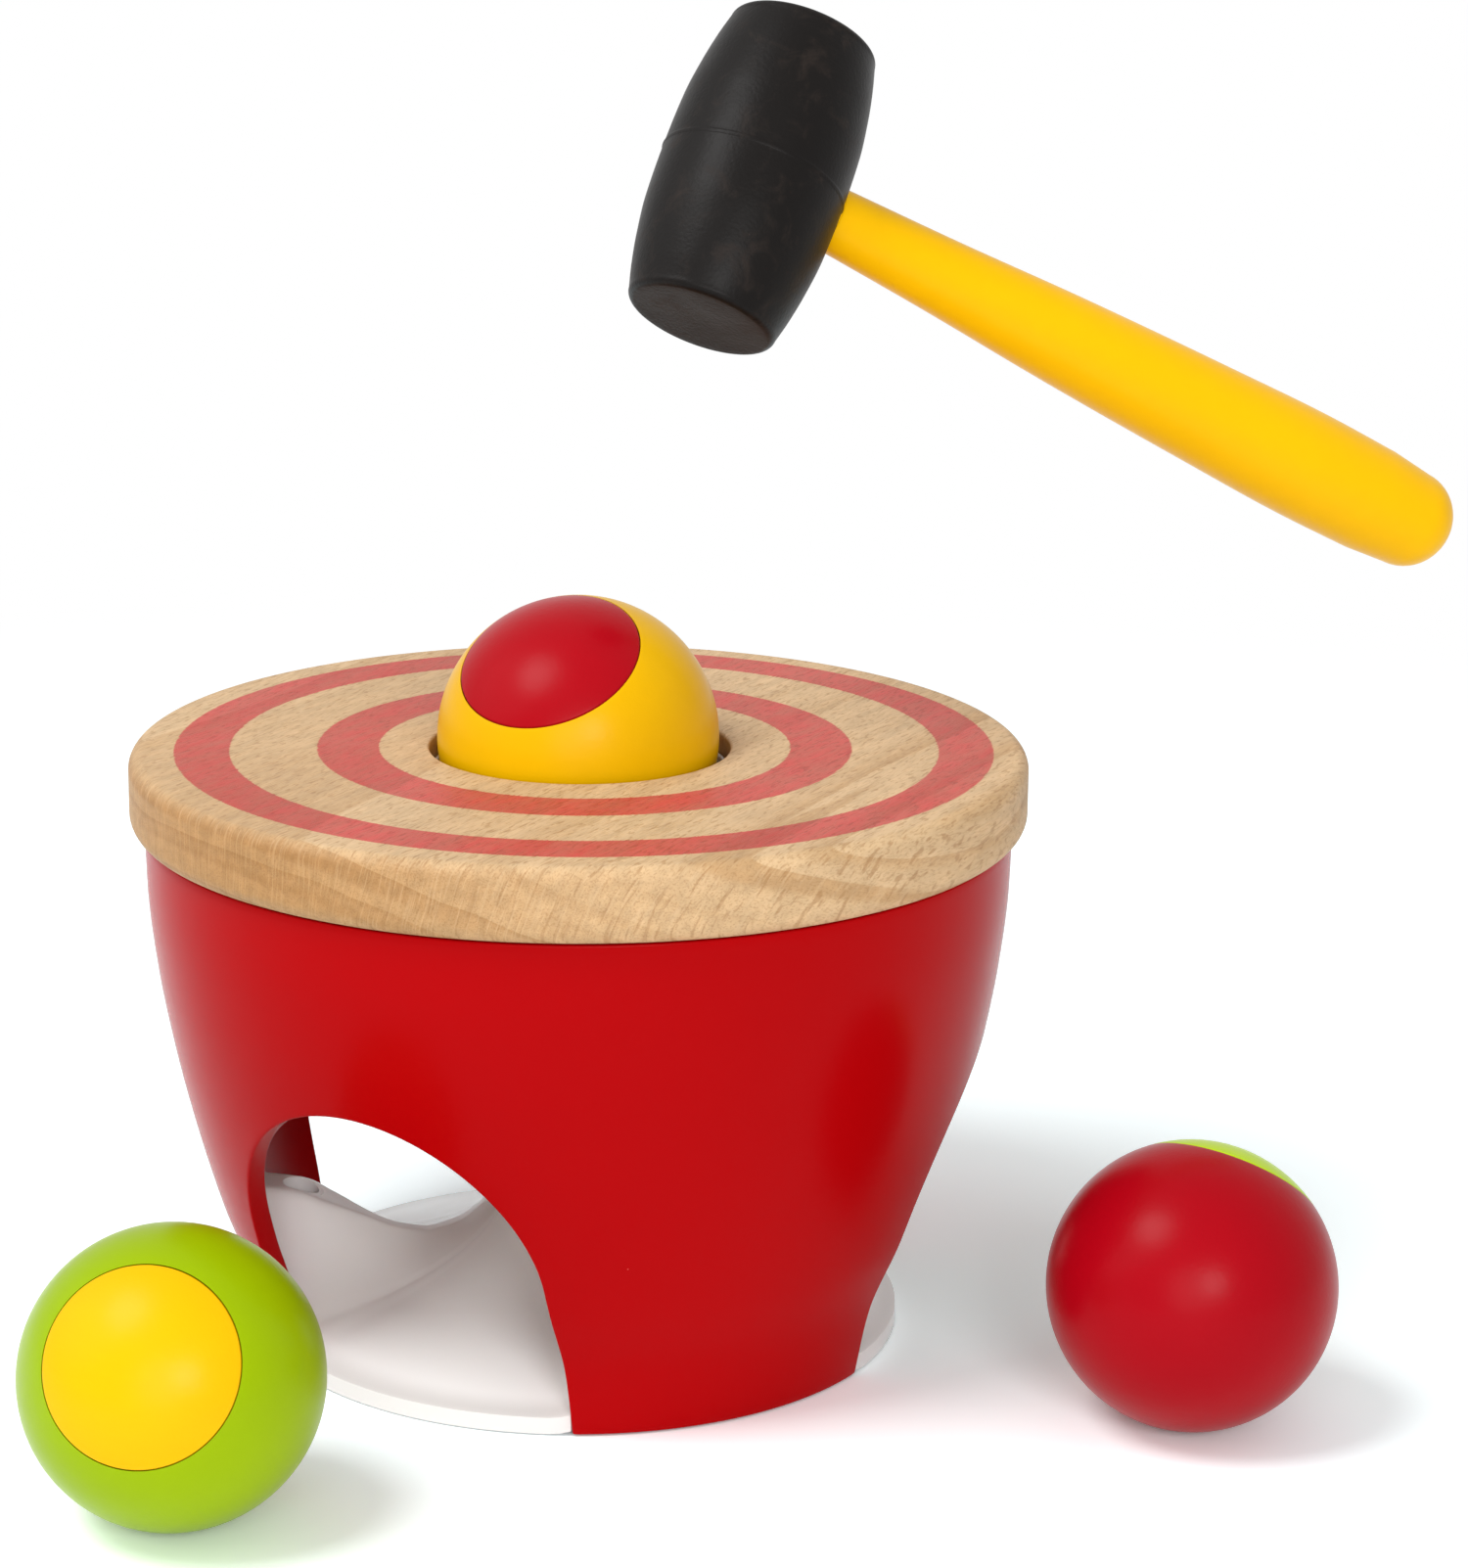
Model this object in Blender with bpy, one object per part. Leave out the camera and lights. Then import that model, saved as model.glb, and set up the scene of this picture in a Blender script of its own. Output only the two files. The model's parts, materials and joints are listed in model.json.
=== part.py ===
# Ball pounding bench: a beech disc on a tapered tub with three arched exits, a moulded chute inside,
# three capped balls and a rubber mallet. Metres, +Z up, origin under the disc's centre on the floor.
# One exit arch faces -Y and the other two stand a third of a turn round.
import bmesh
import bpy
import math
from mathutils import Matrix, Vector

for old in list(bpy.data.objects):
    bpy.data.objects.remove(old, do_unlink=True)

# General fits and facet counts
FIT_GAP = 0.0003
MERGE_GAP = 0.00001
CUT_OVERRUN = 0.0020
THIRDS = 3
THIRD_TURN = math.tau / THIRDS
ROUND_STEPS = 64
SMALL_STEPS = 10
FILLET_STEPS = 4

# Balls and their caps
BALL_RADIUS = 0.0252
CAP_RADIUS_SHARE = 0.655
CAP_SEAT_DEPTH = 0.0034
CAP_EDGE_ROUND = 0.0005
SEAT_EDGE_ROUND = 0.0003
BALL_STEPS = 28
BALL_RINGS = 9
CAP_RINGS = 3

# Screws, all of one gauge
SCREW_RADIUS = 0.0015
SCREW_HEAD_RADIUS = 0.0028
SCREW_HEAD_HEIGHT = 0.0018
SCREW_TIP = 0.0012
SCREW_GAP = 0.00025
PILOT_SPARE = 0.0008
DRIVE_RADIUS = 0.0010
DRIVE_DEPTH = 0.0009
RING_SCREW_BITE = 0.0062
DISC_SCREW_BITE = 0.0082
CHUTE_SCREW_BITE = 0.0098

# Retainer in the hole
BALL_PLAY = 0.0006
RING_WALL = 0.0008
RING_INNER = BALL_RADIUS + BALL_PLAY
RING_OUTER = RING_INNER + RING_WALL
RING_TOP_DEPTH = 0.0036
RING_FLANGE_THICKNESS = 0.0020
RING_SCREW_SETOUT = 0.0048
RING_SCREW_OFFSET = RING_OUTER + RING_SCREW_SETOUT
RING_FLANGE_RADIUS = RING_SCREW_OFFSET + RING_SCREW_SETOUT
RING_STEPS = 48
FINGER_THICKNESS = 0.0011
FINGER_TIP_GAP = 0.0007
FINGER_COUNT = 12
FINGER_SLOT_WIDTH = 0.0013

# Top disc
DISC_RADIUS = 0.0802
DISC_TOP = 0.1078
DISC_THICKNESS = 0.0134
DISC_TOP_FILLET = 0.0026
DISC_BOTTOM_FILLET = 0.0032
HOLE_RADIUS = RING_OUTER + FIT_GAP
HOLE_FILLET = 0.0006
DISC_BOTTOM = DISC_TOP - DISC_THICKNESS
RING_TOP = DISC_TOP - RING_TOP_DEPTH

# Tub: its bulging side as shares of its height and of the way from foot radius to top radius
TUB_FOOT_RADIUS = 0.0586
TUB_TOP_RADIUS = 0.0776
TUB_HEIGHT_SHARES = (0.0, 0.128, 0.267, 0.427, 0.586, 0.746, 0.885, 1.0)
TUB_FLARE_SHARES = (0.0, 0.110, 0.355, 0.585, 0.770, 0.910, 0.982, 1.0)
TUB_TOP = DISC_BOTTOM - FIT_GAP
TUB_WALL = 0.0045
TUB_RINGS = 8
TUB_FOOT_ROUND = 0.0006
ARCH_PLAY = 0.0048
ARCH_HALF_WIDTH = BALL_RADIUS + ARCH_PLAY
ARCH_TOP = 0.0589
ARCH_STEPS = 18
DISC_BOSS_RADIUS = 0.0052
DISC_BOSS_OFFSET = TUB_TOP_RADIUS - TUB_WALL - DISC_BOSS_RADIUS
DISC_BOSS_HEIGHT = 0.0110
FOOT_BOSS_HALF_WIDTH = 0.0048
FOOT_BOSS_TOP = 0.0142
FOOT_BOSS_BOTTOM = 0.0010
FOOT_SCREW_SETBACK = 0.0029
FOOT_SCREW_OFFSET = TUB_FOOT_RADIUS - TUB_WALL - FOOT_SCREW_SETBACK
FOOT_BOSS_INNER = FOOT_SCREW_OFFSET - FOOT_BOSS_HALF_WIDTH

# Chute: radii as shares of the lip's, trough and ridge heights as shares of the peak and the lug
LIP_SETBACK = 0.0002
CHUTE_LIP_RADIUS = TUB_FOOT_RADIUS - LIP_SETBACK
CHUTE_SHEET = 0.0030
CHUTE_PEAK = 0.0330
LUG_TOP = 0.0250
TROUGH_RADIUS_SHARES = (0.0, 0.103, 0.223, 0.342, 0.462, 0.582, 0.719, 0.856, 0.950, 1.0)
TROUGH_FALL_SHARES = (1.0, 0.940, 0.733, 0.500, 0.347, 0.247, 0.160, 0.077, 0.022, 0.0)
CREST_RADIUS_SHARES = (0.0, 0.103, 0.205, 0.291, 0.377, 0.479)
CREST_FALL_SHARES = (1.0, 0.915, 0.659, 0.364, 0.125, 0.0)
CREST_LOW = 0.0154
LUG_RADIUS_SHARES = (0.582, 0.685, 0.788, 0.890, 1.062)
LUG_RISE_SHARES = (0.094, 0.354, 0.646, 0.896, 1.0)
CHUTE_RINGS = 11
LIP_COLUMNS = 5
CREST_COLUMN_SHARES = (0.40, 0.62, 0.77, 0.88, 0.95, 1.0)
WALL_START_SHARE = 0.50
WALL_CURVE_POWER = 1.6
WALL_PASSES = 6
CREST_HALF_WIDTH = 0.0013
RECESS_PLAY = 0.0005
RECESS_RADIUS = SCREW_HEAD_RADIUS + RECESS_PLAY
LUG_FLOOR_THICKNESS = 0.0021
LUG_POST_WALL = 0.0009
LUG_POST_RADIUS = RECESS_RADIUS + LUG_POST_WALL
LUG_HALF_WIDTH = LUG_POST_RADIUS + FIT_GAP
LUG_START_SHARE = 0.62
LUG_FULL_SHARE = 0.86

# Where the balls are in the photograph; the yellow one leans to one side of its play
BALL_ABOVE_DISC = 0.0016
YELLOW_CENTRE = Vector((-0.00026, -0.00015, DISC_TOP + BALL_ABOVE_DISC))
GREEN_CENTRE = Vector((-0.0073, -0.1135, BALL_RADIUS))
RED_CENTRE = Vector((0.1180, 0.0109, BALL_RADIUS))
YELLOW_CAP_SHARES = Vector((0.037, -0.549, 0.835))
GREEN_CAP_SHARES = Vector((0.324, -0.830, 0.454))
RED_CAP_SHARES = Vector((0.030, 0.671, 0.741))

# Mallet, placed from the middle of the disc's top as the photograph shows it
HEAD_OFFSET = Vector((0.0166, 0.0309, 0.0992))
HEAD_CENTRE = Vector((0.0, 0.0, DISC_TOP)) + HEAD_OFFSET
HEAD_AXIS_SHARES = Vector((-0.0307, -0.5811, -0.8133))
HANDLE_AXIS_SHARES = Vector((0.5854, 0.6670, -0.4609))
HEAD_HALF_LENGTH = 0.0286
HEAD_BELLY = 0.0169
HEAD_SHOULDER_SHARE = 0.985
HEAD_SHOULDER_AT_SHARE = 0.355
HEAD_RIM = 0.0137
HEAD_RIM_ROUND = 0.0014
SOCKET_GAP = 0.0003
TENON_PAST_CENTRE = 0.0086
TENON_STEP = 0.0001
HANDLE_LENGTH = 0.1578
NECK_INSET = 0.0007
NECK_RADIUS = 0.0059
GRIP_RADIUS = 0.0103
HANDLE_PLACE_SHARES = (0.0, 0.167, 0.380, 0.593, 0.770, 0.876)
HANDLE_SWELL_SHARES = (0.0, 0.220, 0.590, 0.850, 1.0, 0.952)
HANDLE_END_RADIUS = 0.0093
HANDLE_END_LENGTH = 0.0088
HANDLE_END_STEPS = 4
HANDLE_STEPS = 20


def paint(obj, name, colour, roughness, metallic):
    """One Principled material of its own on the object."""
    mat = bpy.data.materials.new(name)
    mat.use_nodes = True
    shader = mat.node_tree.nodes["Principled BSDF"]
    shader.inputs["Base Color"].default_value = (*colour, 1.0)
    shader.inputs["Roughness"].default_value = roughness
    shader.inputs["Metallic"].default_value = metallic
    obj.data.materials.clear()
    obj.data.materials.append(mat)


def finish(name, bm, smooth=True):
    """Turn a bmesh into a scene object with outward normals."""
    bmesh.ops.remove_doubles(bm, verts=bm.verts, dist=MERGE_GAP)
    bmesh.ops.recalc_face_normals(bm, faces=bm.faces)
    mesh = bpy.data.meshes.new(name)
    bm.to_mesh(mesh)
    bm.free()
    for poly in mesh.polygons:
        poly.use_smooth = smooth
    obj = bpy.data.objects.new(name, mesh)
    bpy.context.scene.collection.objects.link(obj)
    return obj


def arc(centre_r, centre_z, radius, start, stop, steps):
    """Profile points on a circle arc, angles in degrees from the +r direction."""
    points = []
    for i in range(steps + 1):
        a = math.radians(start + (stop - start) * i / steps)
        points.append((centre_r + radius * math.cos(a), centre_z + radius * math.sin(a)))
    return points


def spline(xs, ys, x):
    """Smooth curve through the points, with slopes that never overshoot."""
    n = len(xs)
    if x <= xs[0]:
        return ys[0]
    if x >= xs[-1]:
        return ys[-1]
    d = [(ys[i + 1] - ys[i]) / (xs[i + 1] - xs[i]) for i in range(n - 1)]
    m = [d[0]]
    for i in range(1, n - 1):
        if d[i - 1] * d[i] <= 0:
            m.append(0.0)
        else:
            m.append(2 * d[i - 1] * d[i] / (d[i - 1] + d[i]))
    m.append(d[-1])
    k = 0
    while x > xs[k + 1]:
        k += 1
    h = xs[k + 1] - xs[k]
    t = (x - xs[k]) / h
    a = (2 * t**3 - 3 * t**2 + 1) * ys[k] + (t**3 - 2 * t**2 + t) * h * m[k]
    b = (-2 * t**3 + 3 * t**2) * ys[k + 1] + (t**3 - t**2) * h * m[k + 1]
    return a + b


def smoothstep(low, high, x):
    t = min(1.0, max(0.0, (x - low) / (high - low)))
    return t * t * (3 - 2 * t)


def lathe(profile, steps, closed_loop):
    """Revolve a profile of (radius, height) about Z. A closed loop makes a ring."""
    bm = bmesh.new()
    columns = []
    for r, z in profile:
        if r < MERGE_GAP:
            columns.append([bm.verts.new((0, 0, z))])
        else:
            column = []
            for i in range(steps):
                a = math.tau * i / steps
                column.append(bm.verts.new((r * math.cos(a), r * math.sin(a), z)))
            columns.append(column)
    pairs = list(zip(columns, columns[1:]))
    if closed_loop:
        pairs.append((columns[-1], columns[0]))
    for one, two in pairs:
        for i in range(steps):
            j = (i + 1) % steps
            corners = []
            for vert in (one[i % len(one)], one[j % len(one)], two[j % len(two)], two[i % len(two)]):
                if vert not in corners:
                    corners.append(vert)
            if len(corners) > 2:
                bm.faces.new(corners)
    return bm


def turn(bm, direction, place):
    """Point the mesh's +Z along a direction and move it."""
    turned = direction.normalized().to_track_quat("Z", "Y").to_matrix().to_4x4()
    bmesh.ops.transform(bm, matrix=Matrix.Translation(place) @ turned, verts=bm.verts)


def add_rod(bm, radius, low, high, x, y, steps=SMALL_STEPS):
    """A plain vertical cylinder inside a bmesh."""
    moved = Matrix.Translation((x, y, (low + high) / 2))
    bmesh.ops.create_cone(bm, cap_ends=True, segments=steps, radius1=radius, radius2=radius,
                          depth=high - low, matrix=moved)


def add_box(bm, size, matrix):
    bmesh.ops.create_cube(bm, size=1.0, matrix=matrix @ Matrix.Diagonal((*size, 1.0)))


def boolean(obj, helper, operation):
    """Apply a helper to an object by an exact Boolean and keep the helper out of the render."""
    helper.hide_render = True
    helper.display_type = "WIRE"
    step = obj.modifiers.new(helper.name, "BOOLEAN")
    step.operation = operation
    step.solver = "EXACT"
    step.object = helper


def leg_azimuth(i):
    """Azimuth of a leg, measured from +X like the trigonometric functions."""
    return -math.pi / 2 + THIRD_TURN * (i + 0.5)


def arch_azimuth(i):
    return -math.pi / 2 + THIRD_TURN * i


def tub_radius(z):
    flare = spline(TUB_HEIGHT_SHARES, TUB_FLARE_SHARES, z / TUB_TOP)
    return TUB_FOOT_RADIUS + (TUB_TOP_RADIUS - TUB_FOOT_RADIUS) * flare


def top_disc():
    """Beech disc with rounded rims, its hole and the blind pilots for its screws."""
    rim_low = arc(DISC_RADIUS - DISC_BOTTOM_FILLET, DISC_BOTTOM + DISC_BOTTOM_FILLET,
                  DISC_BOTTOM_FILLET, -90, 0, FILLET_STEPS)
    rim_high = arc(DISC_RADIUS - DISC_TOP_FILLET, DISC_TOP - DISC_TOP_FILLET,
                   DISC_TOP_FILLET, 0, 90, FILLET_STEPS)
    lip = arc(HOLE_RADIUS + HOLE_FILLET, DISC_TOP - HOLE_FILLET, HOLE_FILLET, 90, 180, FILLET_STEPS)
    profile = [(HOLE_RADIUS, DISC_BOTTOM)] + rim_low + rim_high + lip
    obj = finish("top_disc", lathe(profile, ROUND_STEPS, True))
    pilots = bmesh.new()
    pilot = SCREW_RADIUS + SCREW_GAP
    for i in range(THIRDS):
        a = arch_azimuth(i)
        top = DISC_BOTTOM + RING_SCREW_BITE + PILOT_SPARE
        add_rod(pilots, pilot, DISC_BOTTOM - FIT_GAP, top,
                RING_SCREW_OFFSET * math.cos(a), RING_SCREW_OFFSET * math.sin(a))
        a = leg_azimuth(i)
        top = DISC_BOTTOM + DISC_SCREW_BITE + PILOT_SPARE
        add_rod(pilots, pilot, DISC_BOTTOM - FIT_GAP, top,
                DISC_BOSS_OFFSET * math.cos(a), DISC_BOSS_OFFSET * math.sin(a))
    boolean(obj, finish("cut_disc_pilots", pilots, False), "DIFFERENCE")
    paint(obj, "beech", (0.72, 0.50, 0.28), 0.5, 0.0)
    return obj


def tub_profile():
    outer = []
    for i in range(TUB_RINGS + 1):
        z = TUB_FOOT_ROUND + (TUB_TOP - TUB_FOOT_ROUND) * i / TUB_RINGS
        outer.append((tub_radius(z), z))
    inner = [(r - TUB_WALL, z) for r, z in reversed(outer)]
    foot = (tub_radius(0.0) - TUB_FOOT_ROUND, 0.0)
    foot_inner = (tub_radius(0.0) - TUB_WALL + TUB_FOOT_ROUND, 0.0)
    return outer + inner + [foot_inner, foot]


def arch_cutter():
    """Three straight tunnels with round tops, each from inside the tub to well outside it."""
    bm = bmesh.new()
    reach = 2 * DISC_RADIUS
    start = ARCH_HALF_WIDTH / math.tan(THIRD_TURN / 2) + CUT_OVERRUN
    spring = ARCH_TOP - ARCH_HALF_WIDTH
    outline = [(ARCH_HALF_WIDTH, -CUT_OVERRUN)]
    for i in range(ARCH_STEPS + 1):
        a = math.pi * i / ARCH_STEPS
        outline.append((ARCH_HALF_WIDTH * math.cos(a), spring + ARCH_HALF_WIDTH * math.sin(a)))
    outline.append((-ARCH_HALF_WIDTH, -CUT_OVERRUN))
    for k in range(THIRDS):
        spin = Matrix.Rotation(arch_azimuth(k), 4, "Z")
        near = [bm.verts.new(spin @ Vector((start, y, z))) for y, z in outline]
        far = [bm.verts.new(spin @ Vector((reach, y, z))) for y, z in outline]
        bm.faces.new(near)
        bm.faces.new(far)
        for i in range(len(outline)):
            j = (i + 1) % len(outline)
            bm.faces.new((near[i], near[j], far[j], far[i]))
    return finish("cut_arches", bm, False)


def tub_bosses():
    """Bosses on the wall: one under the disc and one at the foot of each leg."""
    bm = bmesh.new()
    high = TUB_TOP
    low = TUB_TOP - DISC_BOSS_HEIGHT
    near = DISC_BOSS_OFFSET - DISC_BOSS_RADIUS
    wall_low = tub_radius(low) - TUB_WALL / 2
    wall_high = tub_radius(high) - TUB_WALL / 2
    upper = [(near, high), (near, (low + high) / 2), (DISC_BOSS_OFFSET, low), (wall_low, low), (wall_high, high)]
    low = FOOT_BOSS_BOTTOM
    high = FOOT_BOSS_TOP
    wall_low = tub_radius(low) - TUB_WALL / 2
    wall_high = tub_radius(high) - TUB_WALL / 2
    lower = [(FOOT_BOSS_INNER, high), (FOOT_BOSS_INNER, low), (wall_low, low), (wall_high, high)]
    for outline, half in ((upper, DISC_BOSS_RADIUS), (lower, FOOT_BOSS_HALF_WIDTH)):
        for i in range(THIRDS):
            spin = Matrix.Rotation(leg_azimuth(i), 4, "Z")
            one = [bm.verts.new(spin @ Vector((r, -half, z))) for r, z in outline]
            two = [bm.verts.new(spin @ Vector((r, half, z))) for r, z in outline]
            bm.faces.new(one)
            bm.faces.new(two)
            for k in range(len(outline)):
                j = (k + 1) % len(outline)
                bm.faces.new((one[k], one[j], two[j], two[k]))
    return finish("add_bosses", bm, False)


def tub_pilots():
    bm = bmesh.new()
    hole = SCREW_RADIUS + SCREW_GAP
    for i in range(THIRDS):
        c, s = math.cos(leg_azimuth(i)), math.sin(leg_azimuth(i))
        low = TUB_TOP - DISC_BOSS_HEIGHT - CUT_OVERRUN
        add_rod(bm, hole, low, DISC_TOP, DISC_BOSS_OFFSET * c, DISC_BOSS_OFFSET * s)
        low = FOOT_BOSS_TOP - CHUTE_SCREW_BITE - PILOT_SPARE
        add_rod(bm, hole, low, FOOT_BOSS_TOP + CUT_OVERRUN, FOOT_SCREW_OFFSET * c, FOOT_SCREW_OFFSET * s)
    return finish("cut_tub_pilots", bm, False)


def tub():
    """Tapered shell with a gently bulging side, three arched exits and six screw bosses."""
    obj = finish("tub", lathe(tub_profile(), ROUND_STEPS, True))
    boolean(obj, tub_bosses(), "UNION")
    boolean(obj, arch_cutter(), "DIFFERENCE")
    boolean(obj, tub_pilots(), "DIFFERENCE")
    paint(obj, "red_shell", (0.60, 0.0, 0.01), 0.2, 0.0)
    return obj


def ridge_height(share):
    """Height along a ridge: down from the peak, then up to the screw lug by the leg."""
    if share <= CREST_RADIUS_SHARES[-1]:
        fall = spline(CREST_RADIUS_SHARES, CREST_FALL_SHARES, share)
        return CREST_LOW + (CHUTE_PEAK - CREST_LOW) * fall
    rise = spline((CREST_RADIUS_SHARES[-1], *LUG_RADIUS_SHARES), (0.0, *LUG_RISE_SHARES), share)
    return CREST_LOW + (LUG_TOP - CREST_LOW) * rise


def chute_height(r, off):
    """Height of the chute's top at a radius and an angle off the nearest trough's middle."""
    share = r / CHUTE_LIP_RADIUS
    fall = spline(TROUGH_RADIUS_SHARES, TROUGH_FALL_SHARES, share)
    trough = CHUTE_SHEET + (CHUTE_PEAK - CHUTE_SHEET) * fall
    widening = smoothstep(LUG_START_SHARE, LUG_FULL_SHARE, share)
    half = CREST_HALF_WIDTH + (LUG_HALF_WIDTH - CREST_HALF_WIDTH) * widening
    from_ridge = r * math.sin(THIRD_TURN / 2 - off)
    across = r * math.sin(off)
    up_wall = 1.0
    if from_ridge > half:
        up_wall = across / (across + from_ridge - half)
    rise = max(0.0, (up_wall - WALL_START_SHARE) / (1 - WALL_START_SHARE))
    return trough + (ridge_height(share) - trough) * rise**WALL_CURVE_POWER


def chute_wall_radius(off):
    """Radius at which the sheet meets the inside of the tub behind a leg."""
    wall = tub_radius(0.0) - TUB_WALL
    for _ in range(WALL_PASSES):
        under = max(0.0, chute_height(wall, off) - CHUTE_SHEET)
        wall = tub_radius(under) - TUB_WALL - 2 * FIT_GAP
    return wall


def chute_columns():
    """Angle and edge radius of each column of the sheet, from a trough's middle to the ridge."""
    half = ARCH_HALF_WIDTH - FIT_GAP
    lip_end = math.asin(half / CHUTE_LIP_RADIUS)
    foot = tub_radius(0.0) - TUB_WALL - 2 * FIT_GAP
    jamb_end = math.asin(half / foot)
    columns = [(lip_end * i / LIP_COLUMNS, CHUTE_LIP_RADIUS) for i in range(LIP_COLUMNS + 1)]
    columns.append((jamb_end, foot))
    for share in CREST_COLUMN_SHARES:
        off = jamb_end + (THIRD_TURN / 2 - jamb_end) * share
        columns.append((off, chute_wall_radius(off)))
    return columns


def chute_sheet():
    """The moulded sheet as one closed body, a top skin and an under skin over the same grid."""
    bm = bmesh.new()
    half = chute_columns()
    sector = [(-off, edge) for off, edge in reversed(half[1:-1])] + half
    columns = []
    for k in range(THIRDS):
        columns += [(arch_azimuth(k) + off, abs(off), edge) for off, edge in sector]
    skins = []
    for drop in (0.0, CHUTE_SHEET):
        centre = bm.verts.new((0, 0, CHUTE_PEAK - drop))
        rows = []
        for azimuth, off, edge in columns:
            row = []
            for i in range(1, CHUTE_RINGS + 1):
                r = edge * i / CHUTE_RINGS
                z = chute_height(r, off) - drop
                row.append(bm.verts.new((r * math.cos(azimuth), r * math.sin(azimuth), z)))
            rows.append(row)
        skins.append((centre, rows))
    count = len(columns)
    for centre, rows in skins:
        for k in range(count):
            a, b = rows[k], rows[(k + 1) % count]
            bm.faces.new((centre, a[0], b[0]))
            for i in range(CHUTE_RINGS - 1):
                bm.faces.new((a[i], a[i + 1], b[i + 1], b[i]))
    top, under = skins[0][1], skins[1][1]
    for k in range(count):
        j = (k + 1) % count
        bm.faces.new((top[k][-1], top[j][-1], under[j][-1], under[k][-1]))
    return finish("chute", bm)


def chute():
    """Three-way chute: a central peak, three troughs, three ridges with a screw recess at the top."""
    obj = chute_sheet()
    posts = bmesh.new()
    cuts = bmesh.new()
    low = FOOT_BOSS_TOP + FIT_GAP
    floor = low + LUG_FLOOR_THICKNESS
    lug_top = chute_height(FOOT_SCREW_OFFSET, THIRD_TURN / 2)
    for i in range(THIRDS):
        x = FOOT_SCREW_OFFSET * math.cos(leg_azimuth(i))
        y = FOOT_SCREW_OFFSET * math.sin(leg_azimuth(i))
        add_rod(posts, LUG_POST_RADIUS, low, lug_top - CHUTE_SHEET / 2, x, y, 2 * SMALL_STEPS)
        add_rod(cuts, RECESS_RADIUS, floor, CHUTE_PEAK, x, y, 2 * SMALL_STEPS)
    boolean(obj, finish("add_lug_posts", posts, False), "UNION")
    boolean(obj, finish("cut_recesses", cuts, False), "DIFFERENCE")
    holes = bmesh.new()
    for i in range(THIRDS):
        x = FOOT_SCREW_OFFSET * math.cos(leg_azimuth(i))
        y = FOOT_SCREW_OFFSET * math.sin(leg_azimuth(i))
        add_rod(holes, SCREW_RADIUS + SCREW_GAP, low - CUT_OVERRUN, floor + CUT_OVERRUN, x, y)
    boolean(obj, finish("cut_lug_holes", holes, False), "DIFFERENCE")
    paint(obj, "white_plastic", (0.80, 0.78, 0.78), 0.25, 0.0)
    return obj


def grip_ring():
    """Retainer: a sleeve in the hole, a flange under the disc and flexible fingers under the ball."""
    flange_top = DISC_BOTTOM - FIT_GAP
    flange_low = flange_top - RING_FLANGE_THICKNESS
    finger_top = flange_low + FINGER_THICKNESS
    drop = YELLOW_CENTRE.z - finger_top
    tip = math.sqrt(BALL_RADIUS**2 - drop**2) + FINGER_TIP_GAP
    inner = RING_INNER
    profile = [(tip, flange_low), (RING_FLANGE_RADIUS, flange_low), (RING_FLANGE_RADIUS, flange_top),
               (RING_OUTER, flange_top), (RING_OUTER, RING_TOP), (inner, RING_TOP),
               (inner, finger_top), (tip, finger_top)]
    obj = finish("grip_ring", lathe(profile, RING_STEPS, True))
    slots = bmesh.new()
    slot_end = inner - FINGER_SLOT_WIDTH
    slot_start = tip - CUT_OVERRUN
    for i in range(FINGER_COUNT):
        spin = Matrix.Rotation(math.tau * (i + 0.5) / FINGER_COUNT, 4, "Z")
        place = Matrix.Translation(((slot_start + slot_end) / 2, 0, flange_low))
        size = (slot_end - slot_start, FINGER_SLOT_WIDTH, 2 * RING_FLANGE_THICKNESS)
        add_box(slots, size, spin @ place)
    for i in range(THIRDS):
        a = arch_azimuth(i)
        add_rod(slots, SCREW_RADIUS + SCREW_GAP, flange_low - CUT_OVERRUN, flange_top + CUT_OVERRUN,
                RING_SCREW_OFFSET * math.cos(a), RING_SCREW_OFFSET * math.sin(a))
    boolean(obj, finish("cut_finger_slots", slots, False), "DIFFERENCE")
    paint(obj, "retainer_plastic", (0.78, 0.76, 0.74), 0.35, 0.0)
    return obj


def screw(name, length, place, points_up):
    """Pan-head screw with a drive dimple. The place is the middle of the face under its head."""
    low = -SCREW_HEAD_HEIGHT
    profile = [(0.0, low + DRIVE_DEPTH), (DRIVE_RADIUS, low + DRIVE_DEPTH / 2), (DRIVE_RADIUS, low),
               (SCREW_HEAD_RADIUS - SCREW_HEAD_HEIGHT / 2, low), (SCREW_HEAD_RADIUS, low / 2),
               (SCREW_HEAD_RADIUS, 0.0), (SCREW_RADIUS, 0.0), (SCREW_RADIUS, length - SCREW_TIP), (0.0, length)]
    bm = lathe(profile, SMALL_STEPS, False)
    turn(bm, Vector((0, 0, 1 if points_up else -1)), Vector((0, 0, 0)))
    obj = finish(name, bm)
    obj.location = place
    paint(obj, name + "_steel", (0.55, 0.55, 0.57), 0.35, 1.0)
    return obj


def screws():
    """Three screws for the retainer, three for the disc and three for the chute."""
    flange_low = DISC_BOTTOM - FIT_GAP - RING_FLANGE_THICKNESS
    boss_low = TUB_TOP - DISC_BOSS_HEIGHT
    lug_floor = FOOT_BOSS_TOP + FIT_GAP + LUG_FLOOR_THICKNESS
    rows = (("ring_screw", flange_low - FIT_GAP, DISC_BOTTOM + RING_SCREW_BITE, RING_SCREW_OFFSET, arch_azimuth),
            ("disc_screw", boss_low - FIT_GAP, DISC_BOTTOM + DISC_SCREW_BITE, DISC_BOSS_OFFSET, leg_azimuth),
            ("chute_screw", lug_floor + FIT_GAP, FOOT_BOSS_TOP - CHUTE_SCREW_BITE, FOOT_SCREW_OFFSET, leg_azimuth))
    for name, seat, tip, offset, azimuth in rows:
        for i in range(THIRDS):
            place = Vector((offset * math.cos(azimuth(i)), offset * math.sin(azimuth(i)), seat))
            screw("%s_%d" % (name, i + 1), abs(tip - seat), place, tip > seat)


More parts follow.
